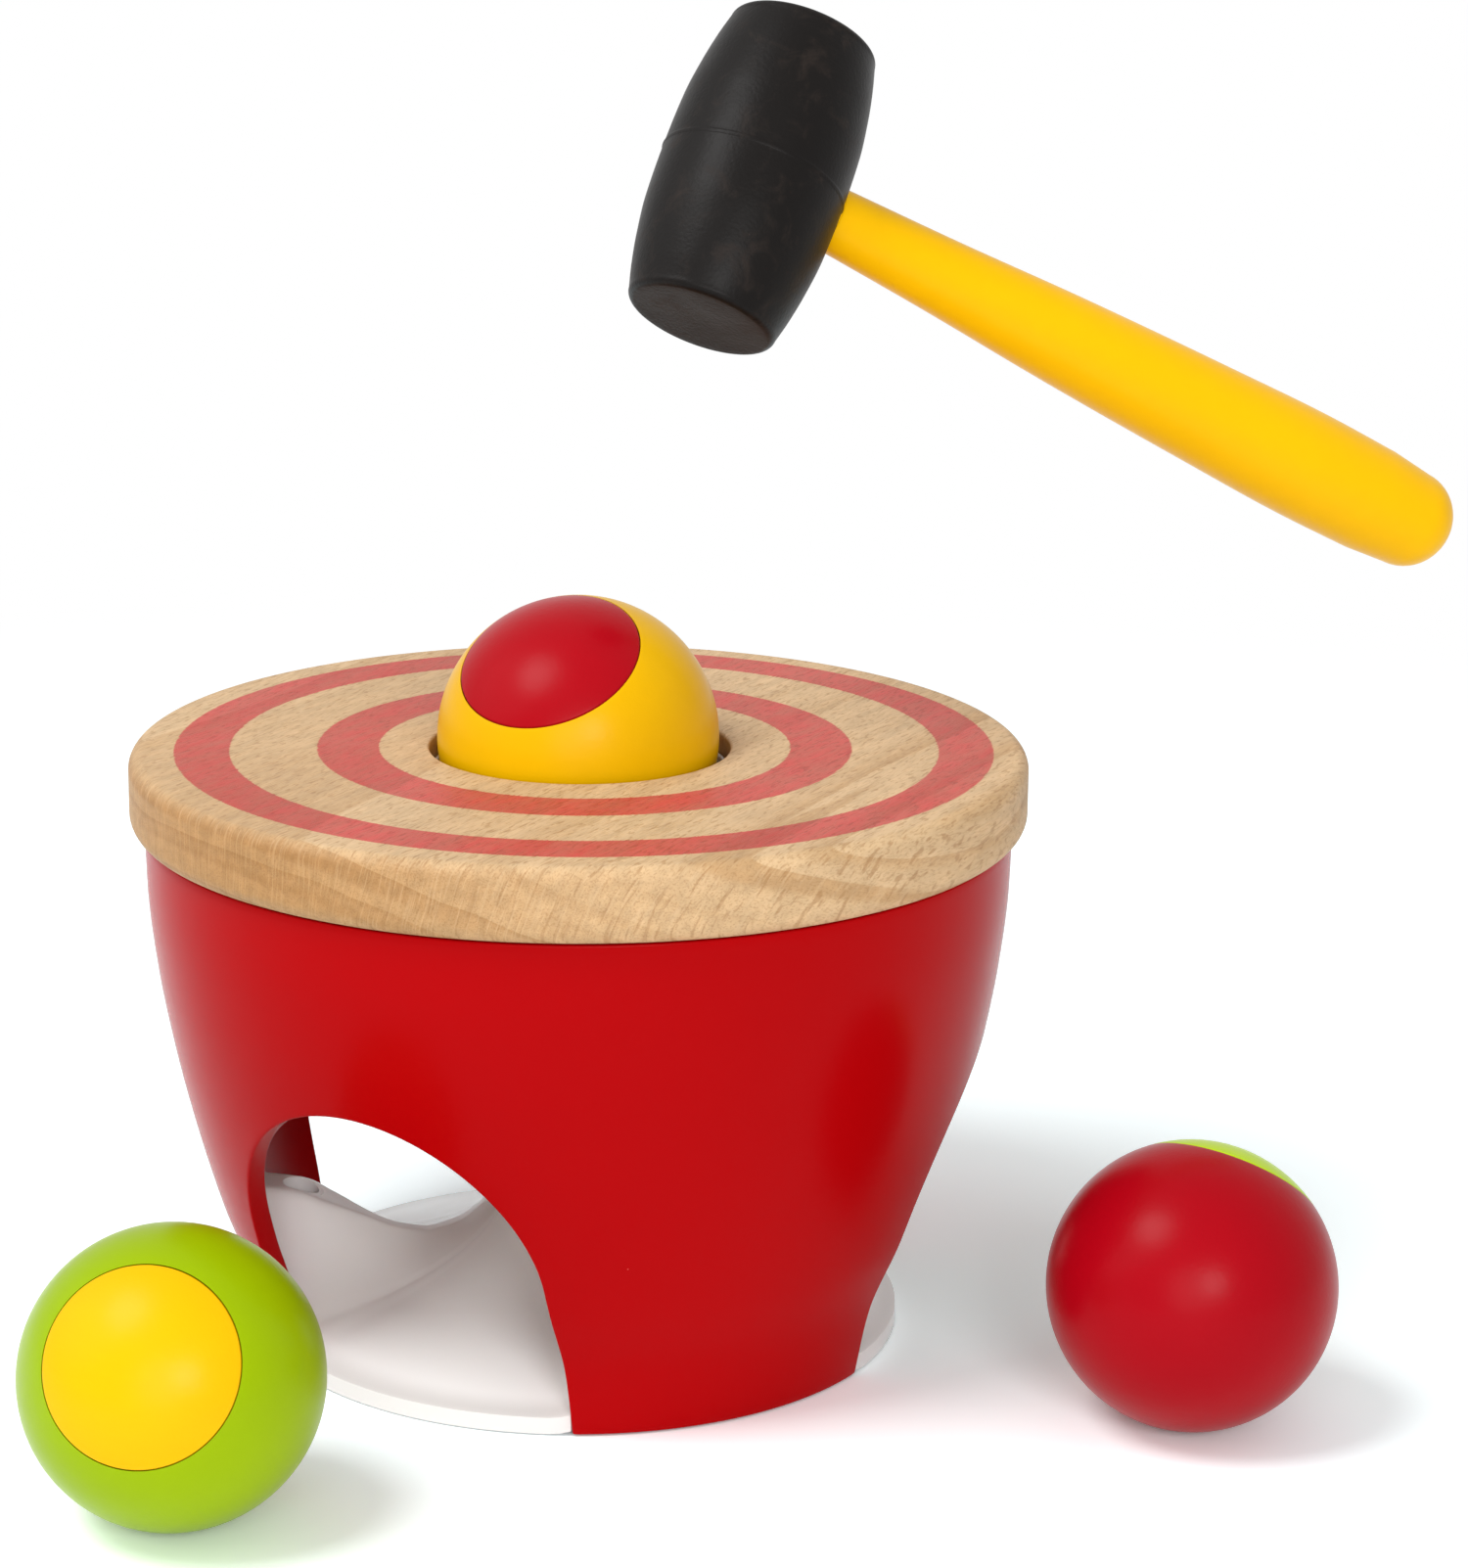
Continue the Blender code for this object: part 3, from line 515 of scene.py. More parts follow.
plasticDust = {"strength": 0.6, "relief": 0.25}
plastic = {"handling": (22.0, 0.03, 0.07), "skin": (700.0, 70.0, 0.55), "specks": (95.0, 0.020, 0.10),
           "dust": (0.30, 0.27, 0.26, 1.0), "relief": 0.00003, "markRoughness": 0.3}
plasticSettings = {
    "red": {**plastic, "name": "redShell", "colour": (0.380, 0.0006, 0.0018, 1.0), "roughness": 0.25,
            "specular": 0.04, "dust": (0.80, 0.22, 0.20, 1.0), "relief": 0.00002},
    "white": {**plastic, "name": "whiteChute", "colour": (0.935, 0.915, 0.905, 1.0), "roughness": 0.20,
              "specular": 0.3, "specks": (95.0, 0.020, 0.16),
              "lipShade": (0.750, 0.725, 0.710, 1.0),       # painted shade: a darker grey that tones down the chute's fully lit lips
              "lipShadeFrom": 0.0520, "lipShadeTo": 0.0575},    # metres out from the middle
    "retainer": {**plastic, "name": "whiteRetainer", "colour": (0.760, 0.740, 0.720, 1.0), "roughness": 0.38,
                 "specular": 0.4, "handling": (22.0, 0.04, 0.07)},
}


def makePlastic(settings):
    material, tree, where, tone = newMaterial(settings["name"], settings)
    specks = placeGroup(tree, speckle, where, settings["specks"])["Mask"]
    shade = toned(tree, settings["colour"], tone["Tone"])
    # painted shade: the chute turns a darker grey out from 52 mm, over its fully lit lips
    if "lipShade" in settings:
        apart = apartAt(tree, where)
        shadedLip = softMask(tree, offAxis(tree, apart[0], apart[1]), settings["lipShadeFrom"], settings["lipShadeTo"])
        shade = blendColour(tree, shadedLip, shade, settings["lipShade"])
    dusty = times(tree, specks, plasticDust["strength"])
    shade = blendColour(tree, dusty, shade, settings["dust"])
    uneven = placeGroup(tree, skin, where, settings["skin"])["Height"]
    height = timesPlus(tree, specks, plasticDust["relief"], uneven)
    return finishMaterial(material, shade, tone, height, settings, specks)


lacquerSettings = {
    "handling": (45.0, 0.05, 0.09),
    "skin": (1300.0, 260.0, 0.5),
    "specks": (180.0, 0.05, 0.12),
    "roughness": 0.30,
    "markRoughness": 0.15,
    "specular": 0.075,
    "fibres": (60.0, 420.0, 420.0),    # how often the grain below changes in a metre, along and across
    "fibreNoise": (1.0, 3.0, 0.6),
    "fibreTone": 0.05,
    "fibreRelief": 0.5,
    "relief": 0.000035,
    "yellowBall": (0.720, 0.402, 0.0005, 1.0),
    "darkRedCap": (0.355, 0.0020, 0.0070, 1.0),
    "greenBall": (0.280, 0.415, 0.0005, 1.0),
    "yellowCap": (0.780, 0.430, 0.0010, 1.0),
    "redBall": (0.335, 0.0010, 0.0060, 1.0),
    "limeCap": (0.450, 0.640, 0.0010, 1.0),
    "handle": (0.910, 0.490, 0.0005, 1.0),
}


def makeLacquer(name, colour, grainTurn, settings):
    # opaque satin lacquer over turned wood: the grain only just shows as fine relief and tone
    material, tree, where, tone = newMaterial(name, settings)
    fibres = noiseAt(tree, stretch(tree, where, settings["fibres"], grainTurn), *settings["fibreNoise"])
    specks = placeGroup(tree, speckle, where, settings["specks"])["Mask"]
    centred = calc(tree, "SUBTRACT", fibres, 0.5)
    level = timesPlus(tree, centred, settings["fibreTone"], tone["Tone"])
    peel = placeGroup(tree, skin, where, settings["skin"])["Height"]
    height = timesPlus(tree, fibres, settings["fibreRelief"], peel)
    return finishMaterial(material, toned(tree, colour, level), tone, height, settings, specks)


rubberSettings = {
    "colour": (0.0062, 0.0050, 0.0045, 1.0),
    "scuff": (0.036, 0.025, 0.020, 1.0),
    "scuffNoise": (160.0, 5.0, 0.65, 0.6),
    "scuffEdges": (0.50, 0.78),
    "scuffShare": 0.45,
    "speckShare": 0.5,
    "speckRelief": -0.4,
    "handling": (40.0, 0.5, 0.22),
    "skin": (1500.0, 200.0, 0.45),
    "specks": (260.0, 0.06, 0.2),
    "roughness": 0.40,
    "markRoughness": 0.12,
    "specular": 0.105,
    "relief": 0.00009,
}


def makeRubber(settings):
    material, tree, where, tone = newMaterial("blackRubber", settings)
    scuffed = softMask(tree, noiseAt(tree, where, *settings["scuffNoise"]), *settings["scuffEdges"])
    specks = placeGroup(tree, speckle, where, settings["specks"])["Mask"]
    shade = toned(tree, settings["colour"], tone["Tone"])
    for mask, share in ((scuffed, settings["scuffShare"]), (specks, settings["speckShare"])):
        shade = blendColour(tree, times(tree, mask, share), shade, settings["scuff"])
    pebbled = placeGroup(tree, skin, where, settings["skin"])["Height"]
    height = timesPlus(tree, specks, settings["speckRelief"], pebbled)
    return finishMaterial(material, shade, tone, height, settings, scuffed)


steelSettings = {
    "colour": (0.52, 0.53, 0.56, 1.0),
    "handling": (400.0, 0.2, 0.2),
    "skin": (5000.0, 900.0, 0.4),
    "roughness": 0.34,
    "specular": 0.5,
    "metallic": 1.0,
    "relief": 0.00002,
}


def makeSteel(settings):
    material, tree, where, tone = newMaterial("zincPlatedSteel", settings)
    ground = placeGroup(tree, skin, where, settings["skin"])["Height"]
    return finishMaterial(material, toned(tree, settings["colour"], tone["Tone"]), tone, ground, settings)


beechStained = makeBeech(beechSettings)
redPlastic = makePlastic(plasticSettings["red"])
whitePlastic = makePlastic(plasticSettings["white"])
retainerPlastic = makePlastic(plasticSettings["retainer"])
blackRubber = makeRubber(rubberSettings)
plainSteel = makeSteel(steelSettings)
print("finishes made")


# Top disc: hole with a rounded lip, broad rounded rim above and below

discLow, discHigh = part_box("top_disc")
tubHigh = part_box("tub")[1]

discSettings = {
    "radius": discHigh.x,
    "top": discHigh.z,
    "bottom": discLow.z,
    "holeRadius": 0.0269,
    "topRound": 0.0026,
    "bottomRound": 0.0032,
    "lipRound": 0.0006,
    "lowLipRound": 0.0005,
    "steps": 288,
}


def makeDisc(settings):
    names = ("radius", "top", "bottom", "holeRadius", "topRound", "bottomRound", "lipRound", "lowLipRound")
    radius, top, bottom, hole, over, under, lip, small = (settings[name] for name in names)
    profile = arcPoints((hole + small, bottom + small), small, 180, 270, 4)
    inner, outer = profile[-1][0], radius - under
    profile += [(inner + (outer - inner) * i / 10, bottom) for i in range(1, 10)]
    profile += arcPoints((outer, bottom + under), under, -90, 0, 10)
    low, high = profile[-1][1], top - over
    profile += [(radius, low + (high - low) * i / 6) for i in range(1, 6)]
    profile += arcPoints((radius - over, high), over, 0, 90, 12)
    outer, inner = radius - over, hole + lip
    profile += [(outer + (inner - outer) * i / 24, top) for i in range(1, 24)]
    profile += arcPoints((inner, top - lip), lip, 90, 180, 8)
    low, high = bottom + small, top - lip
    profile += [(hole, high + (low - high) * i / 6) for i in range(1, 6)]
    bm = spinProfile(profile, settings["steps"], ring=True)
    finishPiece("beechDisc", bm, "bench", ["top_disc"], [beechStained])


makeDisc(discSettings)
print("disc made")


# Tub: each third is one grid from the arch's edge out to the panel's border, thickened inwards

tubSettings = {
    "height": tubHigh.z,
    "topRadius": tubHigh.x,
    "footRadius": 0.0586,
    "heightShares": (0.0, 0.128, 0.267, 0.427, 0.586, 0.746, 0.885, 1.0),
    "flareShares": (0.0, 0.110, 0.355, 0.585, 0.770, 0.910, 0.982, 1.0),
    "wall": 0.0045,
    "archHalfWidth": 0.0300,
    "archTop": 0.0589,
    "edgeRound": 0.0006,
    "outlineSteps": 140,
    "cornerShare": 0.30,               # times outlineSteps a whole number, so that no face cuts the corner
    "panelSteps": 28,
    "crowding": 1.25,                  # above 1, the rows stand closer at the arch
}


def tubRadius(z):
    share = smoothThrough(tubSettings["heightShares"], tubSettings["flareShares"], z / tubSettings["height"])
    return tubSettings["footRadius"] + (tubSettings["topRadius"] - tubSettings["footRadius"]) * share


def archPoint(share, settings):
    # sideways offset and height along the arch's outline, from its left foot over the top to its right foot
    half, spring = settings["archHalfWidth"], settings["archTop"] - settings["archHalfWidth"]
    run = share * (2 * spring + math.pi * half)
    if run < spring:
        return -half, run
    if run > spring + math.pi * half:
        return half, 2 * spring + math.pi * half - run
    angle = math.pi - (run - spring) / half
    return half * math.cos(angle), spring + half * math.sin(angle)


def borderPoint(share, settings):
    # angle and height along the panel's border
    corner, top = settings["cornerShare"], settings["height"]
    if share < corner:
        return -third / 2, top * share / corner
    if share > 1 - corner:
        return third / 2, top * (1 - share) / corner
    return third * ((share - corner) / (1 - 2 * corner) - 0.5), top


def makeTub(settings):
    bm = bmesh.new()
    steps, rows = settings["outlineSteps"], settings["panelSteps"]
    bmesh.ops.create_grid(bm, x_segments=steps, y_segments=rows, size=1.0)
    openness = bm.verts.layers.float.new("openness")
    for vert in bm.verts:
        share, out = (vert.co.x + 1) / 2, ((vert.co.y + 1) / 2) ** settings["crowding"]
        offset, z = archPoint(share, settings)
        angle = math.asin(offset / tubRadius(z))
        edgeAngle, edgeZ = borderPoint(share, settings)
        angle += (edgeAngle - angle) * out
        z += (edgeZ - z) * out
        vert[openness] = out
        vert.co = outAt(angle, tubRadius(z), z)
    panel = list(bm.verts) + list(bm.edges) + list(bm.faces)
    for i in (1, 2):
        copied = bmesh.ops.duplicate(bm, geom=panel)["geom"]
        verts = [item for item in copied if isinstance(item, bmesh.types.BMVert)]
        turnAboutZ(bm, third * i, verts)
    weld(bm, gridMerge)
    for vert in thicken(bm):
        around = math.atan2(vert.co.x, -vert.co.y)
        panelAngle = (around + third / 2) % third - third / 2
        radius = tubRadius(vert.co.z)
        inside = radius - settings["wall"]
        parallel = math.asin(radius * math.sin(panelAngle) / inside)
        angle = around - panelAngle + parallel + (panelAngle - parallel) * vert[openness]
        vert.co = outAt(angle, inside, vert.co.z)
    bmesh.ops.recalc_face_normals(bm, faces=bm.faces)
    roundSharpEdges(bm, settings["edgeRound"], 3)
    return bm


bossSettings = {
    "discBossRadius": 0.0052,
    "discBossHeight": 0.0110,
    "footBossHalfWidth": 0.0048,
    "footBossInner": 0.0464,
    "footBossLow": 0.0010,
    "footBossHigh": 0.0142,
    "discBossRound": 0.0012,
    "footBossRound": 0.0007,
    "lean": 0.55,
    "leanGap": 0.0030,
}


def addBoss(bm, turn, near, half, low, high, edge, lean):
    # a rounded block that ends inside the wall and leans back into it at its foot
    inWall = tubSettings["wall"] / 2
    far = tubRadius(high) - inWall
    boss = bmesh.new()
    bmesh.ops.create_cube(boss, size=1.0)
    bmesh.ops.scale(boss, vec=(far - near, 2 * half, high - low), verts=boss.verts)
    roundSharpEdges(boss, edge, 3)
    bmesh.ops.translate(boss, vec=((near + far) / 2, 0, (low + high) / 2), verts=boss.verts)
    for vert in boss.verts:
        vert.co.x = min(vert.co.x, tubRadius(vert.co.z) - inWall)
        if vert.co.x < near + half:
            down = (high - vert.co.z) / (high - low)
            vert.co.x += (far - bossSettings["leanGap"] - vert.co.x) * lean * down**2
    turnAboutZ(boss, turn, boss.verts)
    gather(bm, boss)


def addBosses(bm, settings):
    top, half = tubSettings["height"], settings["discBossRadius"]
    near = tubSettings["topRadius"] - tubSettings["wall"] - 2 * half
    upper = (near, half, top - settings["discBossHeight"], top, settings["discBossRound"], settings["lean"])
    foot = [settings["footBoss" + key] for key in ("Inner", "HalfWidth", "Low", "High", "Round")]
    for i in range(3):
        turn = third * i + math.pi / 2
        addBoss(bm, turn, *upper)
        addBoss(bm, turn, *foot, 0.0)


tubMesh = makeTub(tubSettings)
addBosses(tubMesh, bossSettings)
finishPiece("redTub", tubMesh, "bench", ["tub"], [redPlastic], sharp=50)
print("tub made")


# Chute: a central peak, three troughs out to the arches and three ridges up to the legs

chuteSettings = {
    "lipRadius": 0.0584,
    "sheet": 0.0030,
    "peak": 0.0330,
    "lugTop": 0.0250,
    "ridgeLow": 0.0154,
    "troughRadiusShares": (0.0, 0.103, 0.223, 0.342, 0.462, 0.582, 0.719, 0.856, 0.950, 1.0),
    "troughFallShares": (1.0, 0.940, 0.733, 0.500, 0.347, 0.247, 0.160, 0.077, 0.022, 0.0),
    "ridgeRadiusShares": (0.0, 0.103, 0.205, 0.291, 0.377, 0.479),
    "ridgeFallShares": (1.0, 0.915, 0.659, 0.364, 0.125, 0.0),
    "lugRadiusShares": (0.582, 0.685, 0.788, 0.890, 1.062),
    "lugRiseShares": (0.094, 0.354, 0.646, 0.896, 1.0),
    "ridgeHalfWidth": 0.0013,
    "lugHalfWidth": 0.0045,
    "lugStartShare": 0.62,
    "lugFullShare": 0.86,
    "wallStartShare": 0.5,
    "wallCurve": 1.6,
    "gap": 0.0003,
    "rings": 64,
    "lipColumns": 16,
    "legColumns": 26,
    "legCrowding": 1.7,                # above 1, the columns stand closer at the leg's middle
    "recessRadius": 0.0033,
    "recessOffset": 0.0512,
    "recessFloor": 0.0166,
    "recessTurn": 0.05,                # so that no edge of the recess falls on the ridge's middle
    "postRadius": 0.0042,
    "postFoot": 0.0145,
    "postRound": 0.0003,
    "screwHole": 0.0016,
    "recessSteps": 48,
    "edgeRound": 0.0008,
}


def ridgeHeight(share, settings):
    shares, falls = settings["ridgeRadiusShares"], settings["ridgeFallShares"]
    low = settings["ridgeLow"]
    if share <= shares[-1]:
        return low + (settings["peak"] - low) * smoothThrough(shares, falls, share)
    shares = (shares[-1], *settings["lugRadiusShares"])
    return low + (settings["lugTop"] - low) * smoothThrough(shares, (0.0, *settings["lugRiseShares"]), share)


def chuteHeight(radius, off, settings):
    share, sheet = radius / settings["lipRadius"], settings["sheet"]
    fall = smoothThrough(settings["troughRadiusShares"], settings["troughFallShares"], share)
    trough = sheet + (settings["peak"] - sheet) * fall
    widening = softStep(settings["lugStartShare"], settings["lugFullShare"], share)
    half = settings["ridgeHalfWidth"] + (settings["lugHalfWidth"] - settings["ridgeHalfWidth"]) * widening
    fromRidge = radius * math.sin(max(0.0, third / 2 - off))
    across = radius * math.sin(off)
    upWall = across / (across + fromRidge - half) if fromRidge > half else 1.0
    start = settings["wallStartShare"]
    rise = max(0.0, (upWall - start) / (1 - start))
    return trough + (ridgeHeight(share, settings) - trough) * rise ** settings["wallCurve"]


def chuteColumns(settings):
    # angle off the trough's middle and outer radius of each column, up to the ridge
    half = tubSettings["archHalfWidth"] - settings["gap"]
    foot = tubRadius(0.0) - tubSettings["wall"] - 2 * settings["gap"]
    lipEnd = math.asin(half / settings["lipRadius"])
    jambEnd = math.asin(half / foot)
    lipCount = settings["lipColumns"]
    columns = [(lipEnd * i / lipCount, settings["lipRadius"]) for i in range(lipCount + 1)]
    between = (lipEnd + jambEnd) / 2
    columns += [(between, half / math.sin(between)), (jambEnd, foot)]
    crowding = settings["legCrowding"]
    for i in range(1, settings["legColumns"] + 1):
        off = jambEnd + (third / 2 - jambEnd) * (1 - (1 - i / settings["legColumns"]) ** crowding)
        wall = foot
        for _ in range(6):
            under = max(0.0, chuteHeight(wall, off, settings) - settings["sheet"])
            wall = tubRadius(under) - tubSettings["wall"] - 2 * settings["gap"]
        columns.append((off, wall))
    return columns


def makeChute(settings):
    half = chuteColumns(settings)
    sector = [(-off, edge) for off, edge in reversed(half[1:-1])] + half
    columns = [(third * k + off, abs(off), edge) for k in range(3) for off, edge in sector]
    count, rings = len(columns), settings["rings"]
    bm = bmesh.new()
    bmesh.ops.create_grid(bm, x_segments=rings, y_segments=count, size=1.0)
    for vert in bm.verts:
        ring, k = round((vert.co.x + 1) / 2 * rings), round((vert.co.y + 1) / 2 * count) % count
        angle, off, edge = columns[k]
        radius = edge * ring / rings
        vert.co = outAt(angle, radius, chuteHeight(radius, off, settings))
    weld(bm, gridMerge)
    inner = [vert for vert in bm.verts if not vert.is_boundary]
    for _ in range(2):
        bmesh.ops.smooth_vert(bm, verts=inner, factor=0.5, use_axis_x=False, use_axis_y=False,
                              use_axis_z=True)
    bmesh.ops.translate(bm, vec=(0, 0, -settings["sheet"]), verts=thicken(bm))
    bmesh.ops.recalc_face_normals(bm, faces=bm.faces)
    roundSharpEdges(bm, settings["edgeRound"], 3)

    angles = [third * (k + 0.5) for k in range(3)]
    offset, radius, floor = settings["recessOffset"], settings["recessRadius"], settings["recessFloor"]
    steps, cuts = settings["recessSteps"], bmesh.new()
    for angle in angles:
        top = settings["peak"]
        tool = spinProfile([(0.0, floor), (radius, floor), (radius, top), (0.0, top)], steps)
        turnAboutZ(tool, angle + settings["recessTurn"], tool.verts)
        bmesh.ops.translate(tool, vec=outAt(angle, offset), verts=tool.verts)
        gather(cuts, tool)
    bm = carve(bm, cuts)
    hole, side, foot, small = (settings[key] for key in ("screwHole", "postRadius", "postFoot", "postRound"))
    high = chuteHeight(offset, third / 2, settings) - settings["sheet"] / 2
    for angle in angles:
        profile = [(hole, foot), (side - small, foot), (side, foot + small), (side, high), (radius, high)]
        post = spinProfile(profile + [(radius, floor), (hole, floor)], steps, ring=True)
        bmesh.ops.translate(post, vec=outAt(angle, offset), verts=post.verts)
        gather(bm, post)
    finishPiece("whiteChute", bm, "bench", ["chute"], [whitePlastic], sharp=42)


makeChute(chuteSettings)
print("chute made")


# Retainer: a sleeve in the hole, a flange under the disc, springy fingers under the ball

retainerSettings = {
    "inner": 0.0258,
    "outer": 0.0266,
    "top": 0.1042,
    "flangeTop": 0.0941,
    "flangeThickness": 0.0020,
    "flangeRadius": 0.0362,
    "flangeRound": 0.0004,
    "fingerThickness": 0.0011,
    "fingerOverlap": 0.0002,
    "fingers": 12,
    "slot": 0.0013,
    "tipRadius": 0.0200,
    "steps": 144,
    "fingerSteps": 8,
}


def makeRetainer(settings):
    names = ("inner", "outer", "top", "flangeTop", "flangeRound", "fingers", "tipRadius", "fingerThickness")
    inner, outer, top, over, small, count, tip, thick = (settings[name] for name in names)
    low = over - settings["flangeThickness"]
    edge, side = (outer - inner) / 2, settings["flangeRadius"] - small
    profile = arcPoints((side, low + small), small, -90, 0, 4)
    profile += arcPoints((side, over - small), small, 0, 90, 4)
    profile += [(outer, over), (outer, top - edge)] + arcPoints((outer - edge, top - edge), edge, 0, 180, 8)
    profile += [(inner, low)]
    bm = spinProfile(profile, settings["steps"], ring=True)
    step = math.tau / count
    half = step / 2 - settings["slot"] / 2 / tip
    rim = inner + settings["fingerOverlap"]
    loop = [(rim, low), (rim, low + thick)]
    loop += arcPoints((tip + thick / 2, low + thick / 2), thick / 2, 90, 270, 6)
    for i in range(count):
        finger = bmesh.new()
        face = finger.faces.new([finger.verts.new((r, 0.0, z)) for r, z in loop])
        turnAboutZ(finger, step * i - half, finger.verts)
        bmesh.ops.spin(finger, geom=[face, *face.edges, *face.verts], cent=(0, 0, 0), axis=(0, 0, 1),
                       dvec=(0, 0, 0), angle=2 * half, steps=settings["fingerSteps"],
                       use_merge=False, use_duplicate=False)
        weld(finger, fineMerge)
        gather(bm, finger)
    finishPiece("whiteRetainer", bm, "bench", ["grip_ring"], [retainerPlastic])


makeRetainer(retainerSettings)
print("retainer made")


# Screws: pan heads with a cross recess, threaded shanks with a point

screwSettings = {
    "headRadius": 0.0028,
    "headHeight": 0.0018,
    "headOutShares": (0.0, 0.35, 0.62, 0.84, 0.96, 1.0, 0.97),
    "headDownShares": (1.0, 0.99, 0.92, 0.72, 0.42, 0.12, 0.0),
    "shankRadius": 0.0015,
    "coreRadius": 0.0011,
    "pitch": 0.0008,
    "crestStart": 0.3,                 # in pitches
    "crestShare": 0.45,
    "plainEnd": 0.0016,
    "point": 0.0012,
    "crossArm": 0.0015,
    "crossWidth": 0.00055,
    "crossDepth": 0.0010,
    "crossTaper": 0.62,
    "steps": 32,
    "turns": (0.3, 1.0, 1.7),          # no two of a kind stop at the same angle
}


def makeScrewMesh(length, settings):
    # the head's seat is at zero, the shank goes up, the head hangs below
    high, pitch = settings["headHeight"], settings["pitch"]
    shank, core = settings["shankRadius"], settings["coreRadius"]
    shares = zip(settings["headOutShares"], settings["headDownShares"])
    profile = [(settings["headRadius"] * out, -high * down) for out, down in shares]
    profile.append((shank, 0.0))
    for i in range(int((length - settings["plainEnd"]) / pitch)):
        z = pitch * (i + settings["crestStart"])
        profile += [(core, z), (shank, z + pitch * settings["crestShare"])]
    profile += [(core, length - settings["point"]), (0.0, length)]
    bm = spinProfile(profile, settings["steps"])
    long, narrow = 2 * settings["crossArm"], settings["crossWidth"]
    for wide, deep in ((long, narrow), (narrow, long)):
        arm = bmesh.new()
        bmesh.ops.create_cube(arm, size=1.0)
        bmesh.ops.scale(arm, vec=(wide, deep, 2 * settings["crossDepth"]), verts=arm.verts)
        bmesh.ops.translate(arm, vec=(0, 0, -high), verts=arm.verts)
        for vert in arm.verts:
            if vert.co.z > -high:
                vert.co.x *= settings["crossTaper"]
                vert.co.y *= settings["crossTaper"]
        bm = carve(bm, arm)            # one arm after the other: two that cross in one cutter leave nothing
    return bm


def placeScrew(name, node, pointsUp, turn, settings):
    low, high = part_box(node)
    head = settings["headHeight"]
    seat = low.z + head if pointsUp else high.z - head
    bm = makeScrewMesh(high.z - low.z - head, settings)
    turnAboutZ(bm, turn, bm.verts)
    place = Vector(((low.x + high.x) / 2, (low.y + high.y) / 2, seat))
    aimAlong(bm, Vector((0, 0, 1 if pointsUp else -1)), place)
    finishPiece(name, bm, "bench", [node], [plainSteel], sharp=32)


for kind in ("ring", "disc", "chute"):
    for i, turn in enumerate(screwSettings["turns"]):
        node = "%s_screw_%d" % (kind, i + 1)
        placeScrew("%sScrew%d" % (kind, i + 1), node, kind != "chute", turn, screwSettings)
print("screws made")


# Balls with their domed caps let into a seat

ballSettings = {
    "radius": 0.0252,
    "capShare": 0.644,
    "seatDepth": 0.0034,
    "seatGap": 0.00014,
    "seatRound": 0.0002,
    "seatShares": (0.25, 0.30),        # of that, where the round has its middle point
    "capRound": 0.0004,
    "steps": 160,
    "bodyRows": 84,
    "capRows": 36,
}

joints = {joint["name"]: joint for joint in frame["joints"]}
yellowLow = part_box("yellow_ball")[0]
balls = (
    {"colour": "yellow", "cap": "darkRed", "capSlot": "dark_red_cap_lacquer", "body": "ball_in_hole",
     "centre": Vector((-0.00026, -0.00015, yellowLow.z + ballSettings["radius"])),
     "capAxis": Vector((0.037, -0.549, 0.835)), "grain": (0.3, 0.9, 0.4)},
    {"colour": "green", "cap": "yellow", "capSlot": "yellow_cap_lacquer", "body": "ball_in_front",
     "centre": Vector(joints["green_ball_roll"]["pos_m"]),
     "capAxis": Vector((0.324, -0.830, 0.454)), "grain": (0.8, 0.2, 0.1)},
    {"colour": "red", "cap": "lime", "capSlot": "lime_cap_lacquer", "body": "ball_beside",
     "centre": Vector(joints["red_ball_roll"]["pos_m"]),
     "capAxis": Vector((0.030, 0.671, 0.741)), "grain": (0.1, 1.2, 0.6)},
)


def finishBallPart(ball, bm, part, nodePart, colour, grain):
    name = ball["colour"] + "Ball" + part
    paint = makeLacquer(name + "Lacquer", lacquerSettings[colour], grain, lacquerSettings)
    aimAlong(bm, ball["capAxis"], ball["centre"])
    node = ball["colour"] + "_ball" + nodePart
    finishPiece(name, bm, ball["body"], [node], [paint])


def makeBall(ball, settings):
    radius = settings["radius"]
    capRadius = radius * settings["capShare"]
    seat = capRadius + settings["seatGap"]
    rim = math.sqrt(radius**2 - seat**2)
    floor = rim - settings["seatDepth"]
    start = math.degrees(math.asin(rim / radius))
    small = settings["seatRound"]
    out, down = settings["seatShares"]
    edge = start - math.degrees(small / radius)
    profile = [(0.0, -radius)] + arcPoints((0, 0), radius, -90, edge, settings["bodyRows"])[1:]
    profile += [(seat + small * out, rim - small * down), (seat, rim - small)]
    profile += [(seat, floor + small), (seat - small, floor), (0.0, floor)]
    bm = spinProfile(profile, settings["steps"])
    finishBallPart(ball, bm, "", "", ball["colour"] + "Ball", ball["grain"])

    small = settings["capRound"]
    centreR = capRadius - small
    centreZ = math.sqrt((radius - small) ** 2 - centreR**2)
    touch = math.degrees(math.atan2(centreZ, centreR))
    under = floor + settings["seatGap"]
    profile = [(0.0, under), (capRadius, under)] + arcPoints((centreR, centreZ), small, 0, touch, 6)
    profile += arcPoints((0, 0), radius, touch, 90, settings["capRows"])[1:-1] + [(0.0, radius)]
    bm = spinProfile(profile, settings["steps"])
    finishBallPart(ball, bm, "Cap", "_cap", ball["cap"] + "Cap", ball["grain"][::-1])


for ball in balls:
    makeBall(ball, ballSettings)
print("balls made")


# Mallet: moulded rubber head with a parting line, turned handle with a blunt round end

